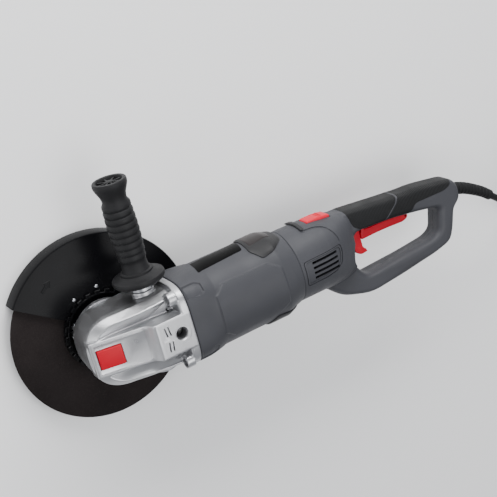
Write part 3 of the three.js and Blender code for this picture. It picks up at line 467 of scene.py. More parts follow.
FLOOR_REACH = 6
floor_height = cad_box[0].z
floor_mesh = bpy.data.meshes.new("floor")
floor_corners = ((-1, -1), (1, -1), (1, 1), (-1, 1))
floor_mesh.from_pydata(
    [(x * FLOOR_REACH, y * FLOOR_REACH, floor_height) for x, y in floor_corners],
    [], [(0, 1, 2, 3)],
)
floor = bpy.data.objects.new("floor", floor_mesh)
bpy.context.collection.objects.link(floor)
floor_material = bpy.data.materials.new("floor")
floor_material.use_nodes = True
floor_shader = floor_material.node_tree.nodes["Principled BSDF"]
floor_shader.inputs["Base Color"].default_value = (0.9, 0.9, 0.9, 1)
floor_shader.inputs["Roughness"].default_value = 0.85
floor_mesh.materials.append(floor_material)

world = bpy.data.worlds.new("studio")
bpy.context.scene.world = world
world.use_nodes = True
sky = world.node_tree.nodes["Background"]
sky.inputs["Color"].default_value = (0.93, 0.95, 1, 1)
sky.inputs["Strength"].default_value = 0.52


def softbox(name, at, towards, width, height, watts):
    data = bpy.data.lights.new(name, "AREA")
    data.shape = "RECTANGLE"
    data.size, data.size_y = width, height
    data.energy = watts
    light = bpy.data.objects.new(name, data)
    bpy.context.collection.objects.link(light)
    light.location = at
    light.rotation_mode = "QUATERNION"
    light.rotation_quaternion = (Vector(towards) - Vector(at)).to_track_quat("-Z", "Y")


middle = (0.2, 0, 0.06)  # of the machine without its cord
softbox("side_light", (0.35, 1.7, 0.75), middle, 2.2, 0.9, 58)
softbox("top_light", (0.3, -0.2, 2.2), middle, 1.8, 1.4, 28)
softbox("front_light", (-1.6, 0.1, 0.9), middle, 1.2, 1.0, 9)

# ------------------------------------------------------------------ cord

CORD_RADIUS = 4.5
CORD_ROUTE = [
    (541.5, -26.6, -0.3), (548.3, -32.1, -0.7), (553, -36, -1.2), (562, -43.6, -3.4),
    (573, -53, -8.5), (584, -62.4, -16.5), (595, -71, -28), (606, -79, -43),
    (617, -87, -57.5), (628.5, -94.6, -70), (641, -101.8, -78.2), (654, -107.8, -81.8),
    (667, -112.6, -82.2), (680, -116, -82.2), (689, -118, -82.2),
]
COIL_CENTRE = (700, -60)
TURN_RADII = (58.9, 49.8, 40.7)
LAYERS = (-82.2, -73.1, -64.0)
ENTRY_ANGLE = 259.5
PER_TURN = 20  # points
SHIFT = 4  # points over which the cord moves to the next turn or layer


def coil_points():
    """Two full layers of three turns, then one turn on top that leaves for the plug."""
    stops = [(r, LAYERS[0]) for r in TURN_RADII]
    stops += [(r, LAYERS[1]) for r in reversed(TURN_RADII)]
    stops += [(TURN_RADII[0], LAYERS[2])]
    points = []
    angle = ENTRY_ANGLE
    step = 360 / PER_TURN
    for index, (radius, height) in enumerate(stops):
        last = index == len(stops) - 1
        for k in range(1 if index == 0 else 0, PER_TURN):
            t = eased((k - PER_TURN + SHIFT) / SHIFT)
            next_radius, next_height = (radius, height) if last else stops[index + 1]
            turn = math.radians(angle + step * k)
            r = radius + (next_radius - radius) * t
            points.append((
                COIL_CENTRE[0] + r * math.cos(turn), COIL_CENTRE[1] + r * math.sin(turn),
                height + (next_height - height) * t,
            ))
    return points


def tail_points():
    """Off the top turn, in a tighter bend inwards and up to the plug's tail."""
    centre, radius = (701, -80), 39
    rise_from, rise_to = LAYERS[2], -40
    points = []
    for k in range(7):
        turn = math.radians(-90 + 15 * k)
        points.append((
            centre[0] + radius * math.cos(turn), centre[1] + radius * math.sin(turn),
            rise_from + (rise_to - rise_from) * eased(k / 6),
        ))
    return points + [(740, -72, rise_to)]


cord_line = [in_row(*p) for p in CORD_ROUTE + coil_points() + tail_points()]
cord_curve = bpy.data.curves.new("cord", "CURVE")
cord_curve.dimensions = "3D"
cord_curve.bevel_depth = CORD_RADIUS * MM
cord_curve.bevel_resolution = 5
cord_curve.resolution_u = 5
cord_curve.use_fill_caps = True
spline = cord_curve.splines.new("BEZIER")
spline.bezier_points.add(len(cord_line) - 1)
for knot, point in zip(spline.bezier_points, cord_line):
    knot.co = point
    knot.handle_left_type = knot.handle_right_type = "AUTO"
cord = bpy.data.objects.new("cord", cord_curve)
bpy.context.collection.objects.link(cord)
cord_curve.materials.append(CORD_RUBBER)
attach(cord, "tool_body")
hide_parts("cord_run", "cord_coil")

# ------------------------------------------------------------------ gear head

SEAM_X = 72
HEAD_BOTTOM = -46
HEAD_FRONT = -50
FLANGE = (52.5, 48, 3.9)  # half width, half height, squareness
BLOCK_TOP = 48
BOSS_X = 40.4
TOP_HOLE_X = 55
THREAD = 7  # M14
THREAD_STEP = 0.5  # from a crest to the next root of the thread drawn in the top hole
LOCK_X = (-42, -13)
LOCK_HALF = 12
LOCK_PIN_X = -18.5
LOCK_PIN_HOLE = 3.2
LOCK_POCKET = 5.6  # radius of the spring's pocket in the button
LOCK_POCKET_ROOF = 22
NECK = 29
COVER_SCREW_CIRCLE = 36.5
GEAR_CAVITY = 35
CAVITIES = [  # along the motor axis: radius, from x, to x, sides
    (13, 18, 27, 48), (30, 26, 54, 64), (34, 53, SEAM_X + 1, 64),
]
LEVEL_STEPS = 44


def power(value, exponent):
    return math.copysign(abs(value) ** exponent, value)


def around_spindle(radius, angle):
    turn = math.radians(angle)
    return (radius * math.cos(turn), radius * math.sin(turn), 0)


def superellipse(x, half_y, half_z, square, centre_y=0, sides=96):
    points = []
    for i in range(sides):
        turn = 2 * math.pi * (i + 0.5) / sides
        y = centre_y + half_y * power(math.cos(turn), 2 / square)
        points.append((x, y, half_z * power(math.sin(turn), 2 / square)))
    return points


def ridge_height(x):
    """The sloping top of the head's raised middle."""
    return 17 + 0.28 * (x - HEAD_FRONT)


def sunk(x, z):
    """Everything above the motor axis sinks towards the front of the head."""
    forward = min(1, max(0, (20 - x) / (20 - HEAD_FRONT)))
    return z * (1 - 0.55 * forward) if z > 0 else z


def head_level(height, half_width, front, rear_half_width):
    """A level outline of the head: a blunt arc in front and straight sides behind it."""
    straight = -5
    level = []
    for i in range(LEVEL_STEPS + 1):
        turn = math.radians(-90 + 180 * i / LEVEL_STEPS)
        x = straight - (straight - front) * power(math.cos(turn), 0.8)
        level.append((x, -half_width * power(math.sin(turn), 0.8)))
    for share in (0.25, 0.5, 0.75, 1):
        x = straight + (SEAM_X - 2 - straight) * share
        level.append((x, -half_width - (rear_half_width - half_width) * share))
    for share in (1, 0.75, 0.5, 0.25):
        x = straight + (SEAM_X - 2 - straight) * share
        level.append((x, half_width + (rear_half_width - half_width) * share))
    return [(x, y, sunk(x, height)) for x, y in level]


def head_casting():
    skin = loft([
        head_level(HEAD_BOTTOM, 38.4, -44.4, 42.4),
        head_level(HEAD_BOTTOM + 1.2, 39.4, -45.4, 43.4),
        head_level(-20, 41.5, -48, 46),
        head_level(10, 44.3, HEAD_FRONT + 0.2, 49.3),
        head_level(20, 44.2, HEAD_FRONT + 0.2, 49.2),
        head_level(32.2, 37.6, HEAD_FRONT + 8.4, 42.6),
        head_level(32.6, 36.8, HEAD_FRONT + 9.2, 41.8),
        head_level(31.4, 35.8, HEAD_FRONT + 10.4, 40.8),
        head_level(23.6, 26.0, HEAD_FRONT + 17.4, 28.0),
    ])
    front, step = HEAD_FRONT + 2.2, 18
    middle_top = [
        (front, 0), (front, ridge_height(front) - 0.2, 2), (step, ridge_height(step) - 0.2, 5),
        (step + 6, BLOCK_TOP - 0.2, 4), (SEAM_X - 0.2, BLOCK_TOP - 0.2), (SEAM_X - 0.2, 0),
    ]
    middle = soften(prism("y", rounded(middle_top), -22.8, 22.8), 1.2)
    flange = loft([
        superellipse(x, FLANGE[0] - inset, FLANGE[1] - inset, FLANGE[2])
        for x, inset in ((61, 3), (62.6, 0.3), (SEAM_X - 1, 0.2), (SEAM_X - 0.2, 0.8))
    ])
    boss = [(0, 30), (14, 30), (14, 52), (13, 52.9), (0, 52.9)]
    bosses = [
        turned("y", [(radius, side * y) for radius, y in boss], (BOSS_X, 0, 0)) for side in (-1, 1)
    ]
    quarters = [(a, b) for a in (-1, 1) for b in (-1, 1)]
    lugs = [rod("x", 8.6, 52.5, 63, (0, a * 40.6, b * 35.4)) for a, b in quarters]
    ribs = [box((30, 62), (side * 42 - 2, side * 42 + 2), (-34, -8)) for side in (-1, 1)]
    whole = fused("head", merge(skin, middle, flange, *bosses, *lugs, *ribs), 0.75, 4, 0.4)
    plateau = [
        (HEAD_FRONT + 6.5, ridge_height(HEAD_FRONT + 6.5) - 1.3), (16, ridge_height(16) - 1.3),
        (19, ridge_height(16) + 3), (12, 60), (HEAD_FRONT + 6.5, 60),
    ]
    slots = []
    for x in (35, 39.6):
        for side in (-1, 1):
            y = side * 9.5
            slot = box((x, x + 1.9), (y - 6, y + 6), (BLOCK_TOP - 7, BLOCK_TOP + 5))
            slots.append(turn_about(slot, "z", side * 7, (x, y, 0)))
    top_bore = [
        (0, 30), (THREAD, 30), (THREAD, 46.2), (8.8, BLOCK_TOP + 0.3), (0, BLOCK_TOP + 0.3),
    ]
    top_groove = [
        (9.2, BLOCK_TOP - 0.75), (12.2, BLOCK_TOP - 0.75),
        (12.2, BLOCK_TOP + 3), (9.2, BLOCK_TOP + 3),
    ]
    cutters = [
        soften(prism("y", plateau, -18.6, 18.6), 0.8),
        box((LOCK_X[0] - 0.8, LOCK_X[1] + 0.8), (-LOCK_HALF - 0.8, LOCK_HALF + 0.8), (11.5, 50)),
        rod("z", LOCK_PIN_HOLE, 0, 20, (LOCK_PIN_X, 0, 0)),
        turned("z", top_bore, (TOP_HOLE_X, 0, 0)),
        turned("z", top_groove, (TOP_HOLE_X, 0, 0)),
        rod("y", THREAD + 0.3, 38, 60, (BOSS_X, 0, 0)),
        rod("y", THREAD + 0.3, -60, -38, (BOSS_X, 0, 0)),
        *[prism("z", rounded([
            (27, side * 23.4, 1), (54.5, side * 24.2, 2), (56, side * 33, 3), (50, side * 37, 3),
        ]), 21.8, 60) for side in (-1, 1)],
        *slots,
        *[rod("x", 5.3, 50, 61.9, (0, a * 41, b * 36)) for a, b in quarters],
        rod("z", GEAR_CAVITY, HEAD_BOTTOM - 1, 5.9, sides=64),
        *[rod("x", radius, low, high, sides=sides) for radius, low, high, sides in CAVITIES],
    ]
    for cutter in cutters:
        carve(whole, cutter)
    return whole


show(head_casting(), "head_casting", "tool_body", CAST, ["gear_housing"], 42)

thread = turned("z", [(7.3, 33), (6.9, 33)] + [
    (6.9 - 0.9 * (k % 2), 33 + THREAD_STEP * k) for k in range(1, 26)
] + [(7.3, 45.5)], (TOP_HOLE_X, 0, 0), 40)
show(thread, "top_hole_thread", "tool_body", THREAD_STEEL, (), 30)

neck = as_object("neck", turned("z", [
    (20.3, -46.3), (42, -46.3), (42, -52), (41, -53), (NECK, -53), (NECK, -62.8),
    (NECK - 0.7, -63.5), (14, -63.5), (14, -59.3), (20.3, -59.3),
], sides=96))
screw_hole = [(0, -56), (4.6, -56), (4.6, -49), (2.5, -49), (2.5, -40), (0, -40)]
for angle in (45, 135, 225, 315):
    carve(neck, turned("z", screw_hole, around_spindle(COVER_SCREW_CIRCLE, angle), 24))
show(neck, "bearing_neck", "tool_body", CAST, ["bearing_cover"], 35)

lock_profile = [
    (LOCK_X[0], 16.2), (LOCK_X[1], 16.2), (LOCK_X[1], ridge_height(LOCK_X[1]) + 1.7, 3),
    (LOCK_X[0], ridge_height(LOCK_X[0]) + 1.7, 3),
]
lock_button = soften(prism("y", rounded(lock_profile), -LOCK_HALF, LOCK_HALF), 0.9, 3)
lock_button = as_object("lock", lock_button)
carve(lock_button, rod("z", LOCK_POCKET, 15, LOCK_POCKET_ROOF, (LOCK_PIN_X, 0, 0)))
show(lock_button, "spindle_lock_cap", "spindle_lock", RED, ["spindle_lock_button"])

# ------------------------------------------------------------------ disc and guard

DISC_TOP = -69.6
DISC_BOTTOM = DISC_TOP - 3
DISC_RADIUS = 115
NUT_HOLE_CIRCLE = 19
GUARD_TOP = -64
GUARD_RADIUS = 120
GUARD_FLOOR = -88
GUARD_START = -35
GUARD_SWEEP = 180
COLLAR = 50
COLLAR_TEETH = 24

wheel = turned("z", [
    (16, DISC_BOTTOM), (DISC_RADIUS - 0.6, DISC_BOTTOM), (DISC_RADIUS, DISC_TOP - 2.4),
    (DISC_RADIUS, DISC_TOP - 0.6), (DISC_RADIUS - 0.6, DISC_TOP), (32, DISC_TOP),
    (31, DISC_TOP - 0.25), (16, DISC_TOP - 0.25),
], sides=180)
show(wheel, "cutting_disc", "spindle_set", GRIT, ["disc"], 50)
bush = turned("z", [
    (11.2, DISC_BOTTOM), (16.2, DISC_BOTTOM), (16.2, DISC_TOP), (11.2, DISC_TOP),
], sides=64)
show(bush, "disc_bush", "spindle_set", STEEL, (), 40)

nut_top = DISC_TOP - 3.3
nut = as_object("nut", turned("z", [
    (7.3, nut_top), (22, nut_top), (22.5, nut_top - 0.5), (22.5, nut_top - 3.4),
    (21.9, nut_top - 4), (16, nut_top - 4.6), (16, nut_top - 7.1), (15.5, nut_top - 7.6),
    (8.2, nut_top - 7.6), (7.3, nut_top - 6.8),
], sides=72))
for angle in (0, 90, 180, 270):
    spot = around_spindle(NUT_HOLE_CIRCLE, angle)
    carve(nut, rod("z", 2.2, nut_top - 9, nut_top - 1.5, spot, 20))
show(nut, "clamp_nut", "spindle_set", STEEL, ["outer_nut"], 35)


def guard_body():
    """The sheet with its toothed collar and its arrow, and the rivets on their own."""
    sheet = turned("z", [
        (46, GUARD_TOP), (GUARD_RADIUS - 2.6, GUARD_TOP), (GUARD_RADIUS - 0.8, GUARD_TOP - 0.7),
        (GUARD_RADIUS, GUARD_TOP - 2.6), (GUARD_RADIUS, GUARD_FLOOR + 0.8),
        (GUARD_RADIUS - 0.6, GUARD_FLOOR), (GUARD_RADIUS - 4, GUARD_FLOOR),
        (GUARD_RADIUS - 4.6, GUARD_FLOOR + 0.7),
        (GUARD_RADIUS - 4, GUARD_FLOOR + 1.6), (GUARD_RADIUS - 2, GUARD_FLOOR + 1.8),
        (GUARD_RADIUS - 2, GUARD_TOP - 2.4), (GUARD_RADIUS - 2.8, GUARD_TOP - 2),
        (46, GUARD_TOP - 2),
    ], sides=96, start=GUARD_START, sweep=GUARD_SWEEP)
    collar = turned("z", [
        (26, GUARD_TOP - 2), (COLLAR, GUARD_TOP - 2), (COLLAR, GUARD_TOP - 0.3), (46.5, GUARD_TOP),
        (46.5, -60.4), (46, -60), (44.6, -60), (44.6, GUARD_TOP), (26, GUARD_TOP),
    ], sides=120)
    teeth = []
    for i in range(COLLAR_TEETH):
        tooth = box((45.5, COLLAR), (-3.6, 3.6), (GUARD_TOP - 0.5, -60.1))
        tooth = soften(tooth, 0.6, 1)
        teeth.append(turn_about(tooth, "z", 360 * (i + 0.5) / COLLAR_TEETH))
    arrow = prism("z", [
        (-9, -2), (1, -2), (1, -5.5), (9, 0), (1, 5.5), (1, 2), (-9, 2),
    ], GUARD_TOP - 0.5, GUARD_TOP + 0.6)
    arrow = soften(arrow, 0.3, 1)
    turn_about(arrow, "z", 40)
    bmesh.ops.translate(arrow, verts=arrow.verts, vec=Vector((-51, 79, 0)) * MM)
    rivets = []
    for x, y in ((8, 53.5), (-23.5, 48.5), (30, 45)):
        rivets.append(turned("z", [
            (0, GUARD_TOP - 0.5), (2.6, GUARD_TOP - 0.5), (2.4, GUARD_TOP + 0.5),
            (1.6, GUARD_TOP + 1.1), (0, GUARD_TOP + 1.3),
        ], (x, y, 0), 20))
    return merge(sheet, collar, *teeth, arrow), merge(*rivets)


guard_sheet, guard_rivets = guard_body()
show(guard_sheet, "guard_sheet", "guard_set", GUARD_BLACK, ["guard"], 35)
show(guard_rivets, "guard_rivets", "guard_set", STEEL, (), 50)

# ------------------------------------------------------------------ motor housing

MOTOR_RIM = 73.4
MOTOR_SECTIONS = [  # x, half width, half height, squareness
    (72.3, 51.6, 47.2, 3.9), (MOTOR_RIM, 52.5, 48, 3.9), (88, 53, 49, 3.5),
    (112, 53.2, 50, 2.25), (160, 53.4, 50.3, 2.1), (203, 53.4, 50.3, 2.1),
    (214, 50, 49, 2.05), (224.6, 47.4, 46.6, 2), (226, 46.6, 45.8, 2),
]


def motor_section(x):
    for low, high in zip(MOTOR_SECTIONS, MOTOR_SECTIONS[1:]):
        if x <= high[0]:
            t = (x - low[0]) / (high[0] - low[0])
            return [a + (b - a) * t for a, b in zip(low[1:], high[1:])]
    return MOTOR_SECTIONS[-1][1:]


def inside_by(outline, u, v):
    """How far a point is inside a convex outline that runs anticlockwise."""
    depth = 1e9
    for (au, av), (bu, bv) in zip(outline, outline[1:] + outline[:1]):
        length = math.hypot(bu - au, bv - av)
        depth = min(depth, ((bu - au) * (v - av) - (bv - av) * (u - au)) / length)
    return depth


ROUND = 52  # millimetres of girth for each radian, for outlines drawn on the motor
INLAY_SPACING = 2.0
INLAY_SINK = 1.2
TOP_PANEL = [
    (108, -20), (121, -33), (186, -33), (200, -22), (200, 22), (186, 33), (121, 33), (108, 20),
]
FRONT_NOTCH = [(74, -13), (90, -13), (97, -7), (97, 7), (90, 13), (74, 13)]


def motor_relief(x, turn):
    """Raised and sunk areas of the housing, drawn as (x, girth from the top)."""
    from_top = (turn - math.pi / 2) * ROUND
    below = abs(turn - 3 * math.pi / 2) < math.pi / 2
    if below:
        from_top = (turn - 3 * math.pi / 2) * ROUND
    height = 1.9 * eased(inside_by(TOP_PANEL, x, from_top) / 1.8 + 0.5)
    for side in (-1, 1):
        height -= 2 * eased(inside_by(FRONT_NOTCH, x, from_top - side * 38) / 1.8 + 0.5)
    return height


def motor_point(x, turn, lift=0.0):
    half_y, half_z, square = motor_section(x)
    y = half_y * power(math.cos(turn), 2 / square)
    z = half_z * power(math.sin(turn), 2 / square)
    radius = math.hypot(y, z)
    scale = (radius + motor_relief(x, turn % (2 * math.pi)) * (x > MOTOR_RIM) + lift) / radius
    return (x, y * scale, z * scale)


def motor_shell():
    stations = [72.3, 72.8, MOTOR_RIM] + [74 + 1.25 * i for i in range(121)] + [224.6, 225.4, 226]
    turns = [2 * math.pi * i / 256 for i in range(256)]
    outer = [[motor_point(x, turn) for turn in turns] for x in stations]
    bore = ((226, 41), (200, 47), (112, 47), (86, 47), (72.3, 47))
    inner = [
        [(x, radius * math.cos(turn), radius * math.sin(turn)) for turn in turns]
        for x, radius in bore
    ]
    return loft(outer + inner, closed=True)


def on_motor(outline, height, edge):
    """A raised inlay on the motor; its outline points are (x, degrees round from +Y)."""
    points = []
    for (au, av), (bu, bv) in zip(outline, outline[1:] + outline[:1]):
        count = max(1, round(math.hypot(bu - au, (bv - av) * 0.92) / INLAY_SPACING))
        points += [(au + (bu - au) * k / count, av + (bv - av) * k / count) for k in range(count)]
    middle = (sum(u for u, _ in points) / len(points), sum(v for _, v in points) / len(points))

    def ring(share, lift):
        spots = [(middle[0] + (u - middle[0]) * share, middle[1] + (v - middle[1]) * share)
                 for u, v in points]
        return [motor_point(x, math.radians(angle), lift) for x, angle in spots]

    near = 1 - edge / 18
    rings = [ring(share, -INLAY_SINK) for share in (0.04, 0.5, 1)] + [ring(1, height * 0.55)]
    rings += [ring((1 + near) / 2, height * 0.9), ring(near, height)]
    rings += [ring(near * s, height) for s in (0.85, 0.7, 0.5, 0.3, 0.1, 0.02)]
    return loft(rings)


def inlay(corners, side, height, edge):
    """An inlay on the +Y side of the motor, or its mirror image on the other side."""
    outline = rounded(corners)
    if side < 0:
        outline = [(u, 180 - v) for u, v in reversed(outline)]
    return on_motor(outline, height, edge)


show(motor_shell(), "motor_shell", "tool_body", GREY, ["motor_housing"], 32)

LABEL_FIELD = [(109, -6, 2), (177, -18, 2), (170, 17, 3), (105, 21, 3)]
BRUSH_COVER = [
    (177, -23, 2), (190, -38, 3), (214, -36, 3), (221.5, -14, 4), (221.5, 22, 4), (203, 41, 5),
    (185, 45, 4), (174.5, 27, 4),
]
BRUSH_COVER_PANEL = [(179, -14, 2), (212, -12, 2), (212, 14, 3), (179, 20, 3)]
for side, name in ((1, "left"), (-1, "right")):
    show(inlay(LABEL_FIELD, side, 0.35, 0.6), f"label_field_{name}", "tool_body", LABEL,
         (), 30)
    show(inlay(BRUSH_COVER, side, 2.2, 2.4), f"brush_cover_{name}", "tool_body", BLACK,
         [f"service_cover_{name}"], 30)
    show(inlay(BRUSH_COVER_PANEL, side, 2.5, 1.2), f"brush_cover_panel_{name}", "tool_body", SMOKED,
         (), 30)

seam = turned("x", [
    (34, 221), (37.6, 221), (37.6, 235.5), (40.6, 236.4), (40.6, 239.6), (40, 240), (34, 240),
], sides=96)
show(seam, "swivel_collar", "tool_body", BLACK)

# ------------------------------------------------------------------ rear handle

LOOP_OUTER = [
    (292, 40), (318, 40, 8), (410, 30, 20), (432, 29, 10), (462, 24, 10), (484, 20, 9), (492, 8, 6),
    (492, -8, 5), (480, -18, 6), (472.5, -44, 8), (465, -60, 12), (440, -67, 10), (385, -74.5, 14),
    (330, -79, 14), (291, -66, 10), (272, -49, 6), (272, 0),
]
LOOP_HOLE = [
    (330, 8, 5), (314, -10, 6), (310.5, -24, 6), (331, -54, 9), (436, -47, 8), (448, -41, 8),
    (455, -12, 4), (449, -7.5, 3), (421, -2.5, 6), (378, 4, 12),
]
LOOP_EDGES = rounded(LOOP_HOLE), rounded(LOOP_OUTER)
LOOP_MIDDLE = Vector((392, -27))
LOOP_HALF_DEPTH = 17
LOOP_CORNER = 9
LOOP_STATIONS = 180
HANDLE_START = SWIVEL_X + 0.3
BARREL_SIDES = 72


def reach_of(outline, direction):
    """Where a ray from the loop's middle meets an outline."""
    furthest = 0
    for a, b in zip(outline, outline[1:] + outline[:1]):
        a, b = Vector(a) - LOOP_MIDDLE, Vector(b) - LOOP_MIDDLE
        side = b - a
        across = direction.x * side.y - direction.y * side.x
        if abs(across) < 1e-9:
            continue
        distance = (a.x * side.y - a.y * side.x) / across
        share = (a.x * direction.y - a.y * direction.x) / across
        if distance > 0 and -1e-6 <= share <= 1 + 1e-6:
            furthest = max(furthest, distance)
    return furthest


def loop_section(turn, swell):
    """Points round the loop's bar where a ray from the loop's middle crosses it."""
    direction = Vector((math.cos(turn), math.sin(turn)))
    near = reach_of(LOOP_EDGES[0], direction) - swell
    far = reach_of(LOOP_EDGES[1], direction) + swell
    half, depth = (far - near) / 2, LOOP_HALF_DEPTH + swell
    corner = min(LOOP_CORNER, half)
    points = []
    for quarter in range(4):
        for k in range(7):
            angle = math.pi / 2 * (quarter + k / 6)
            flip_u = 1 if quarter in (0, 3) else -1
            flip_z = 1 if quarter in (0, 1) else -1
            u = flip_u * (half - corner) + corner * math.cos(angle)
            z = flip_z * (depth - corner) + corner * math.sin(angle)
            spot = LOOP_MIDDLE + direction * (near + half + u)
            points.append((spot.x, spot.y, z))
    return points


def barrel(inset=0.0, front=HANDLE_START):
    """The handle's barrel, from the swivel back to where the loop takes over."""
    stations = [  # x, half width, half height, squareness, y of the middle
        (front, 46.4, 45, 2, 0), (front + 1.2, 47, 45.5, 2, 0), (262, 46.5, 44.5, 2.1, 0),
        (275, 45.8, 42.8, 2.3, -0.5), (285, 44.5, 40, 2.5, -1), (296, 43.3, 35.8, 2.8, -1),
        (305, 42, 31, 3, -1), (313, 40.2, 26.2, 3.2, -0.5), (320 - inset, 38, 21, 3.4, 0),
    ]
    return loft([
        superellipse(x, half_y - inset, half_z - inset, square, middle, BARREL_SIDES)
        for x, half_y, half_z, square, middle in stations
    ])


def whole_loop(swell=0.0):
    turns = [2 * math.pi * i / LOOP_STATIONS for i in range(LOOP_STATIONS)]
    return loft([loop_section(turn, swell) for turn in turns], closed=True)


TRIGGER_SLOT = (322.5, 412.5), (-12, 25), (-7.8, 7.8)
BUTTON_NOTCH = (265, 300.5), (32, 60), (-10.5, 10.5)
HANDLE_SCREWS = [(350, -65), (460, -50), (464, -1)]
VENT_X = (243, 281)
VENT_ROWS = (8, 1.5, -5, -11.5)
RUBBER_DEPTH = 2.3
RELIEF_HOLE = 7.9
RELIEF_SEAT = 11.2


def grip_zone(gap):
    """Where the grip's rubber lies, drawn from the side of the handle."""
    return prism("z", rounded([
        (300, 70), (313 + gap, 60), (316 + gap, 44), (324.5 + gap, 17 + gap, 3),
        (333, 10.5 + gap, 3), (380, 6 + gap, 10), (412, 2.2 + gap, 4), (421, 11.4 + gap, 5),
        (468, 10.4 + gap, 8), (479 - gap, 15, 6), (485 - gap, 30), (490, 70),
    ]), -40, 40)


def divider(grow):
    """The plain strip that crosses the grip."""
    line = [(367, 2), (379, 12), (391, 22), (396, 29), (394.5, 40)]
    left = [(x - 1.1 - grow, y) for x, y in line]
    right = [(x + 1.1 + grow, y) for x, y in reversed(line)]
    return prism("z", left + right, -40, 40)


PANEL = [
    (230.5, -18.5), (262, -18), (276, -15.5), (286.5, -9), (290.5, 3), (289.5, 14.6), (230.5, 13.8),
]
PANEL_MIDDLE = (262, -2)
PANEL_CUTS = ((1.5, 0, 1.2), (0, 3.6, 1.0))  # inner edge, outer edge, depth
CREASE_DEPTH = 0.75


def panel_cut(side, inner, outer, depth):
    """A cutter of a depth under the barrel's skin, between two insets of the vent panel.

    An inner edge of 0 takes the whole area inside the outer one.
    """
    def edge(inset):
        points = []
        for x, y in PANEL:
            away = Vector((x - PANEL_MIDDLE[0], y - PANEL_MIDDLE[1]))
            spot = Vector(PANEL_MIDDLE) + away * (1 - inset / away.length)
            points.append((spot.x, spot.y, 4))
        return rounded(points)

    reach = (20, 70) if side > 0 else (-70, -20)
    cutter = as_object("panel", prism("z", edge(outer), *reach))
    if inner:
        carve(cutter, prism("z", edge(inner), -80, 80))
    return taken_back(carve(cutter, barrel(depth, HANDLE_START - 5)))


def crease(side):
    """A shallow groove along the arc that bounds the side bulge of the barrel."""
    arc = [(255, 42.8), (267, 42), (276, 40), (281.5, 37), (286.3, 31), (289.5, 23.7), (290.5, 18)]
    path = [tuple(p)[:2] for p in curve_through([(*p, 0) for p in arc], 4)]
    outline = [(x, y) for x, y in path] + [(x - 1.1, y - 1.3) for x, y in reversed(path)]
    reach = (8, 70) if side > 0 else (-70, -8)
    cutter = as_object("crease", prism("z", outline, *reach))
    return taken_back(carve(cutter, barrel(CREASE_DEPTH, HANDLE_START - 5)))


barrel_body = carve(as_object("barrel", barrel()), prism("z", rounded(LOOP_HOLE), -50, 50))
shells = fused("handle", merge(whole_loop(), taken_back(barrel_body)), 0.9, 5, 0.45)
around_rubber = as_object("around_rubber", grip_zone(0))
carve(around_rubber, whole_loop(-RUBBER_DEPTH))
combine(shells, around_rubber, "DIFFERENCE")
collar_room = [(0, 225), (38.9, 225), (38.9, 234.6), (41.9, 234.6), (41.9, 250), (0, 250)]
for opening in [
    *[panel_cut(side, *cut) for side in (1, -1) for cut in PANEL_CUTS],
    *[crease(side) for side in (1, -1)],
    turned("x", collar_room, sides=64),
    box((244, 305), (-30, 34), (-14, 14)),
    box((300, 316), (5, 34), (-14, 14)),
    box((244, 296), (-30, 30), (-30, 30)),
    box(*BUTTON_NOTCH),
    box(*TRIGGER_SLOT),
    rod("x", RELIEF_HOLE, 484, 500),
    rod("x", RELIEF_SEAT, 468, 486.6),
    *[soften(box(VENT_X, (y - 1.7, y + 1.7), (-60, 60)), 0.5, 1) for y in VENT_ROWS],
    *[rod("z", 3.7, -30, -12.5, (x, y, 0)) for x, y in HANDLE_SCREWS],
]:
    carve(shells, opening)
for above, node in ((True, "handle_shell_upper"), (False, "handle_shell_lower")):
    half = keep_side(shells, above)
    show(half, node.replace("handle_", ""), "rear_handle", GREY, [node], 36)
bpy.data.objects.remove(shells)

rubber = as_object("rubber", whole_loop(0.1))
combine(rubber, as_object("zone", grip_zone(0.3)), "INTERSECT")
strip = as_object("strip", whole_loop(0.25))
combine(strip, as_object("zone", divider(0)), "INTERSECT")
for skin in (rubber, strip):
    carve(skin, whole_loop(-RUBBER_DEPTH + 0.2))
    carve(skin, box(*TRIGGER_SLOT))
combine(strip, as_object("zone", grip_zone(0.3)), "INTERSECT")
carve(rubber, divider(0.2))
show(rubber, "grip_rubber", "rear_handle", GRIP, ["grip_cover"], 40)
show(strip, "grip_divider", "rear_handle", GREY, (), 40)

lip = as_object("lip", turned("x", [
    (44, 250), (48.6, 250), (49.4, 250.8), (49.4, 254.7), (48.6, 255.5), (44, 255.5),
], sides=96))
carve(lip, box((240, 260), (-60, 44.8), (-60, 60)))
show(lip, "swivel_stop_lip", "rear_handle", BLACK, (), 35)

button_profile = rounded([(266, 39), (299.5, 39), (299.5, 44.6, 3), (287, 46.8, 6), (266, 47.1, 3)])
button = merge(
    soften(prism("z", button_profile, -9.5, 9.5), 1.3, 3),
    *[soften(box((x, x + 1.6), (45, 47.4), (-6.5, 6.5)), 0.5, 2) for x in (284.5, 288)],
)
# The swivel cap takes the red plastic lightened with painted light
show(button, "swivel_cap", "swivel_lock", RED_WITH_PAINTED_LIGHT, ["swivel_lock_button"], 50)

paddle_profile = rounded([
    (337.5, -1), (337.5, -8, 2.5), (372, -7.5, 20), (404, -9.5, 5), (411.5, -6, 3), (411.5, 0.5, 3),
    (372, 3, 4), (345, 4), (343, 9), (339.5, 9), (339.5, 4),
])
paddle = as_object("paddle", soften(prism("z", paddle_profile, -7, 7), 1.3, 3))
carve(paddle, rod("z", 1.6, -10, 10, (408, -3, 0)))
show(paddle, "trigger_paddle", "trigger", RED, ["trigger"], 45)
hook_profile = rounded([
    (327, 6, 3), (324, -10, 6), (326, -22.5, 5), (333, -26.6, 3), (342.5, -25.6, 1),
    (341.3, -21.8, 0.8), (337.2, -18, 5), (336.7, 6, 3),
])
hook = soften(prism("z", hook_profile, -6.4, 6.4), 1.6, 3)
show(hook, "lock_off_hook", "lock_off", RED, ["lock_off_lever"], 45)
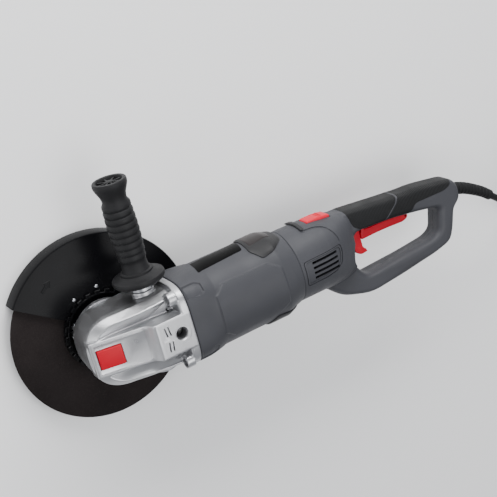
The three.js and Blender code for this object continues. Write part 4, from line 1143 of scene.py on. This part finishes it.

# ------------------------------------------------------------------ strain relief and plug

RELIEF_LINE = [
    (478, 0, 0), (486, 0, 0), (494, -0.5, 0), (508, -5.5, 0), (522, -13, 0), (536, -22, 0),
    (547, -31, -0.5),
]
RELIEF_RIBS = 11
FLANGE_ENDS = 0.08  # shares of the relief's length
NECK_ENDS = 0.17


def relief_radius(share):
    """A flange in the handle, a neck through its wall, then ribs on a taper."""
    if share < FLANGE_ENDS:
        return 10.4
    if share < NECK_ENDS:
        return 7.3
    rib = (share - NECK_ENDS) / 0.83 * RELIEF_RIBS % 1
    groove = 0.9 if 0.62 < rib < 0.97 and share < 0.96 else 0
    return 8.8 - 1.9 * share - groove


relief_path = curve_through(RELIEF_LINE, 24)
relief = show(tube(relief_path, relief_radius, 32), "bend_relief", None, RUBBER,
              ["strain_relief"], 50)
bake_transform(relief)

PLUG = (740, -46, -40)
PLUG_FLAT = 18  # from the plug's middle to the middle of what is cut off each side
plug_body = as_object("plug_body", turned("y", [
    (0, -34), (5.2, -34), (5.6, -33.4), (5.9, -26), (5.2, -25.4), (5.3, -24), (6.2, -23.4),
    (6.6, -15), (12.6, -6.5), (17.6, -1.6), (18.5, 0.4), (18.7, 2), (18.1, 2.4), (18.1, 3.4),
    (18.8, 3.8), (18.9, 12), (18.6, 20.5), (17.4, 22), (0, 22),
], PLUG, 64))
for side in (-1, 1):
    x, y, z = PLUG[0] + side * PLUG_FLAT, PLUG[1], PLUG[2]
    carve(plug_body, box((x - 2.2, x + 2.2), (y - 30, y + 40), (z - 25, z + 25)))
plug_body = show(plug_body, "plug_moulding", "tool_body", CORD_RUBBER, ["plug"], 35)
pin = [(0, 20), (2.4, 20), (2.4, 38.6), (1.9, 39.6), (0, 40)]
pins = merge(*[turned("y", pin, (PLUG[0] + x, PLUG[1], PLUG[2]), 24) for x in (-9.5, 9.5)])
pins = show(pins, "plug_pins", "tool_body", STEEL, (), 35)

# ------------------------------------------------------------------ side handle


FINGER_RIBS = 9


def side_grip():
    outline = [
        (7.6, 58.6), (15, 58.6), (16.5, 59.2), (29.4, 63.2), (31.6, 66), (32, 68), (31.2, 70.6),
        (29, 71.4), (24, 72.6), (21.6, 74.4), (19.6, 75.2), (19.6, 77.4), (17, 78.4), (16, 82),
        (15.4, 88),
    ]
    for k in range(FINGER_RIBS):
        y = 92 + 8 * k
        girth = 15.6 + 2.7 * math.sin(math.pi * min(1, (y - 86) / 84)) ** 0.8
        rib = ((-0.8, 0), (0.1, 1.2), (0.3, 3.6), (0.1, 6))
        outline += [(girth + swell, y + along) for swell, along in rib]
    outline += [
        (14.9, 166), (14.8, 169), (16, 174), (18.6, 179.6), (20.4, 184), (20.9, 187), (20.6, 190),
        (19.8, 191), (16.6, 191), (15.8, 190.2), (15, 183), (0, 183), (0, 70), (7.6, 70),
    ]
    return turned("y", outline, (BOSS_X, 0, 0), 96)


show(side_grip(), "side_grip", "tool_body", GRIP_BLACK, ["side_handle_grip"], 40)
spokes = []
for angle in (0, 45, 90, 135):
    spoke = box((BOSS_X - 15.4, BOSS_X + 15.4), (182.6, 189), (-1.1, 1.1))
    spokes.append(turn_about(spoke, "y", angle, (BOSS_X, 0, 0)))
hub = turned("y", [(0, 182.6), (5, 182.6), (5, 189.4), (3.4, 190), (0, 190)], (BOSS_X, 0, 0), 32)
show(merge(hub, *[soften(s, 0.4, 1) for s in spokes]), "side_grip_ribs", "tool_body", GRIP_BLACK,
     (), 40)
stud = turned("y", [
    (0, 41), (6.4, 41), (7, 41.8), (7, 53.3), (13.2, 53.3), (13.8, 53.9), (13.8, 57.7),
    (13.2, 58.3), (7, 58.3), (7, 69.6), (0, 69.6),
], (BOSS_X, 0, 0), 64)
show(stud, "side_stud", "tool_body", STEEL, ["side_handle_stud"], 35)
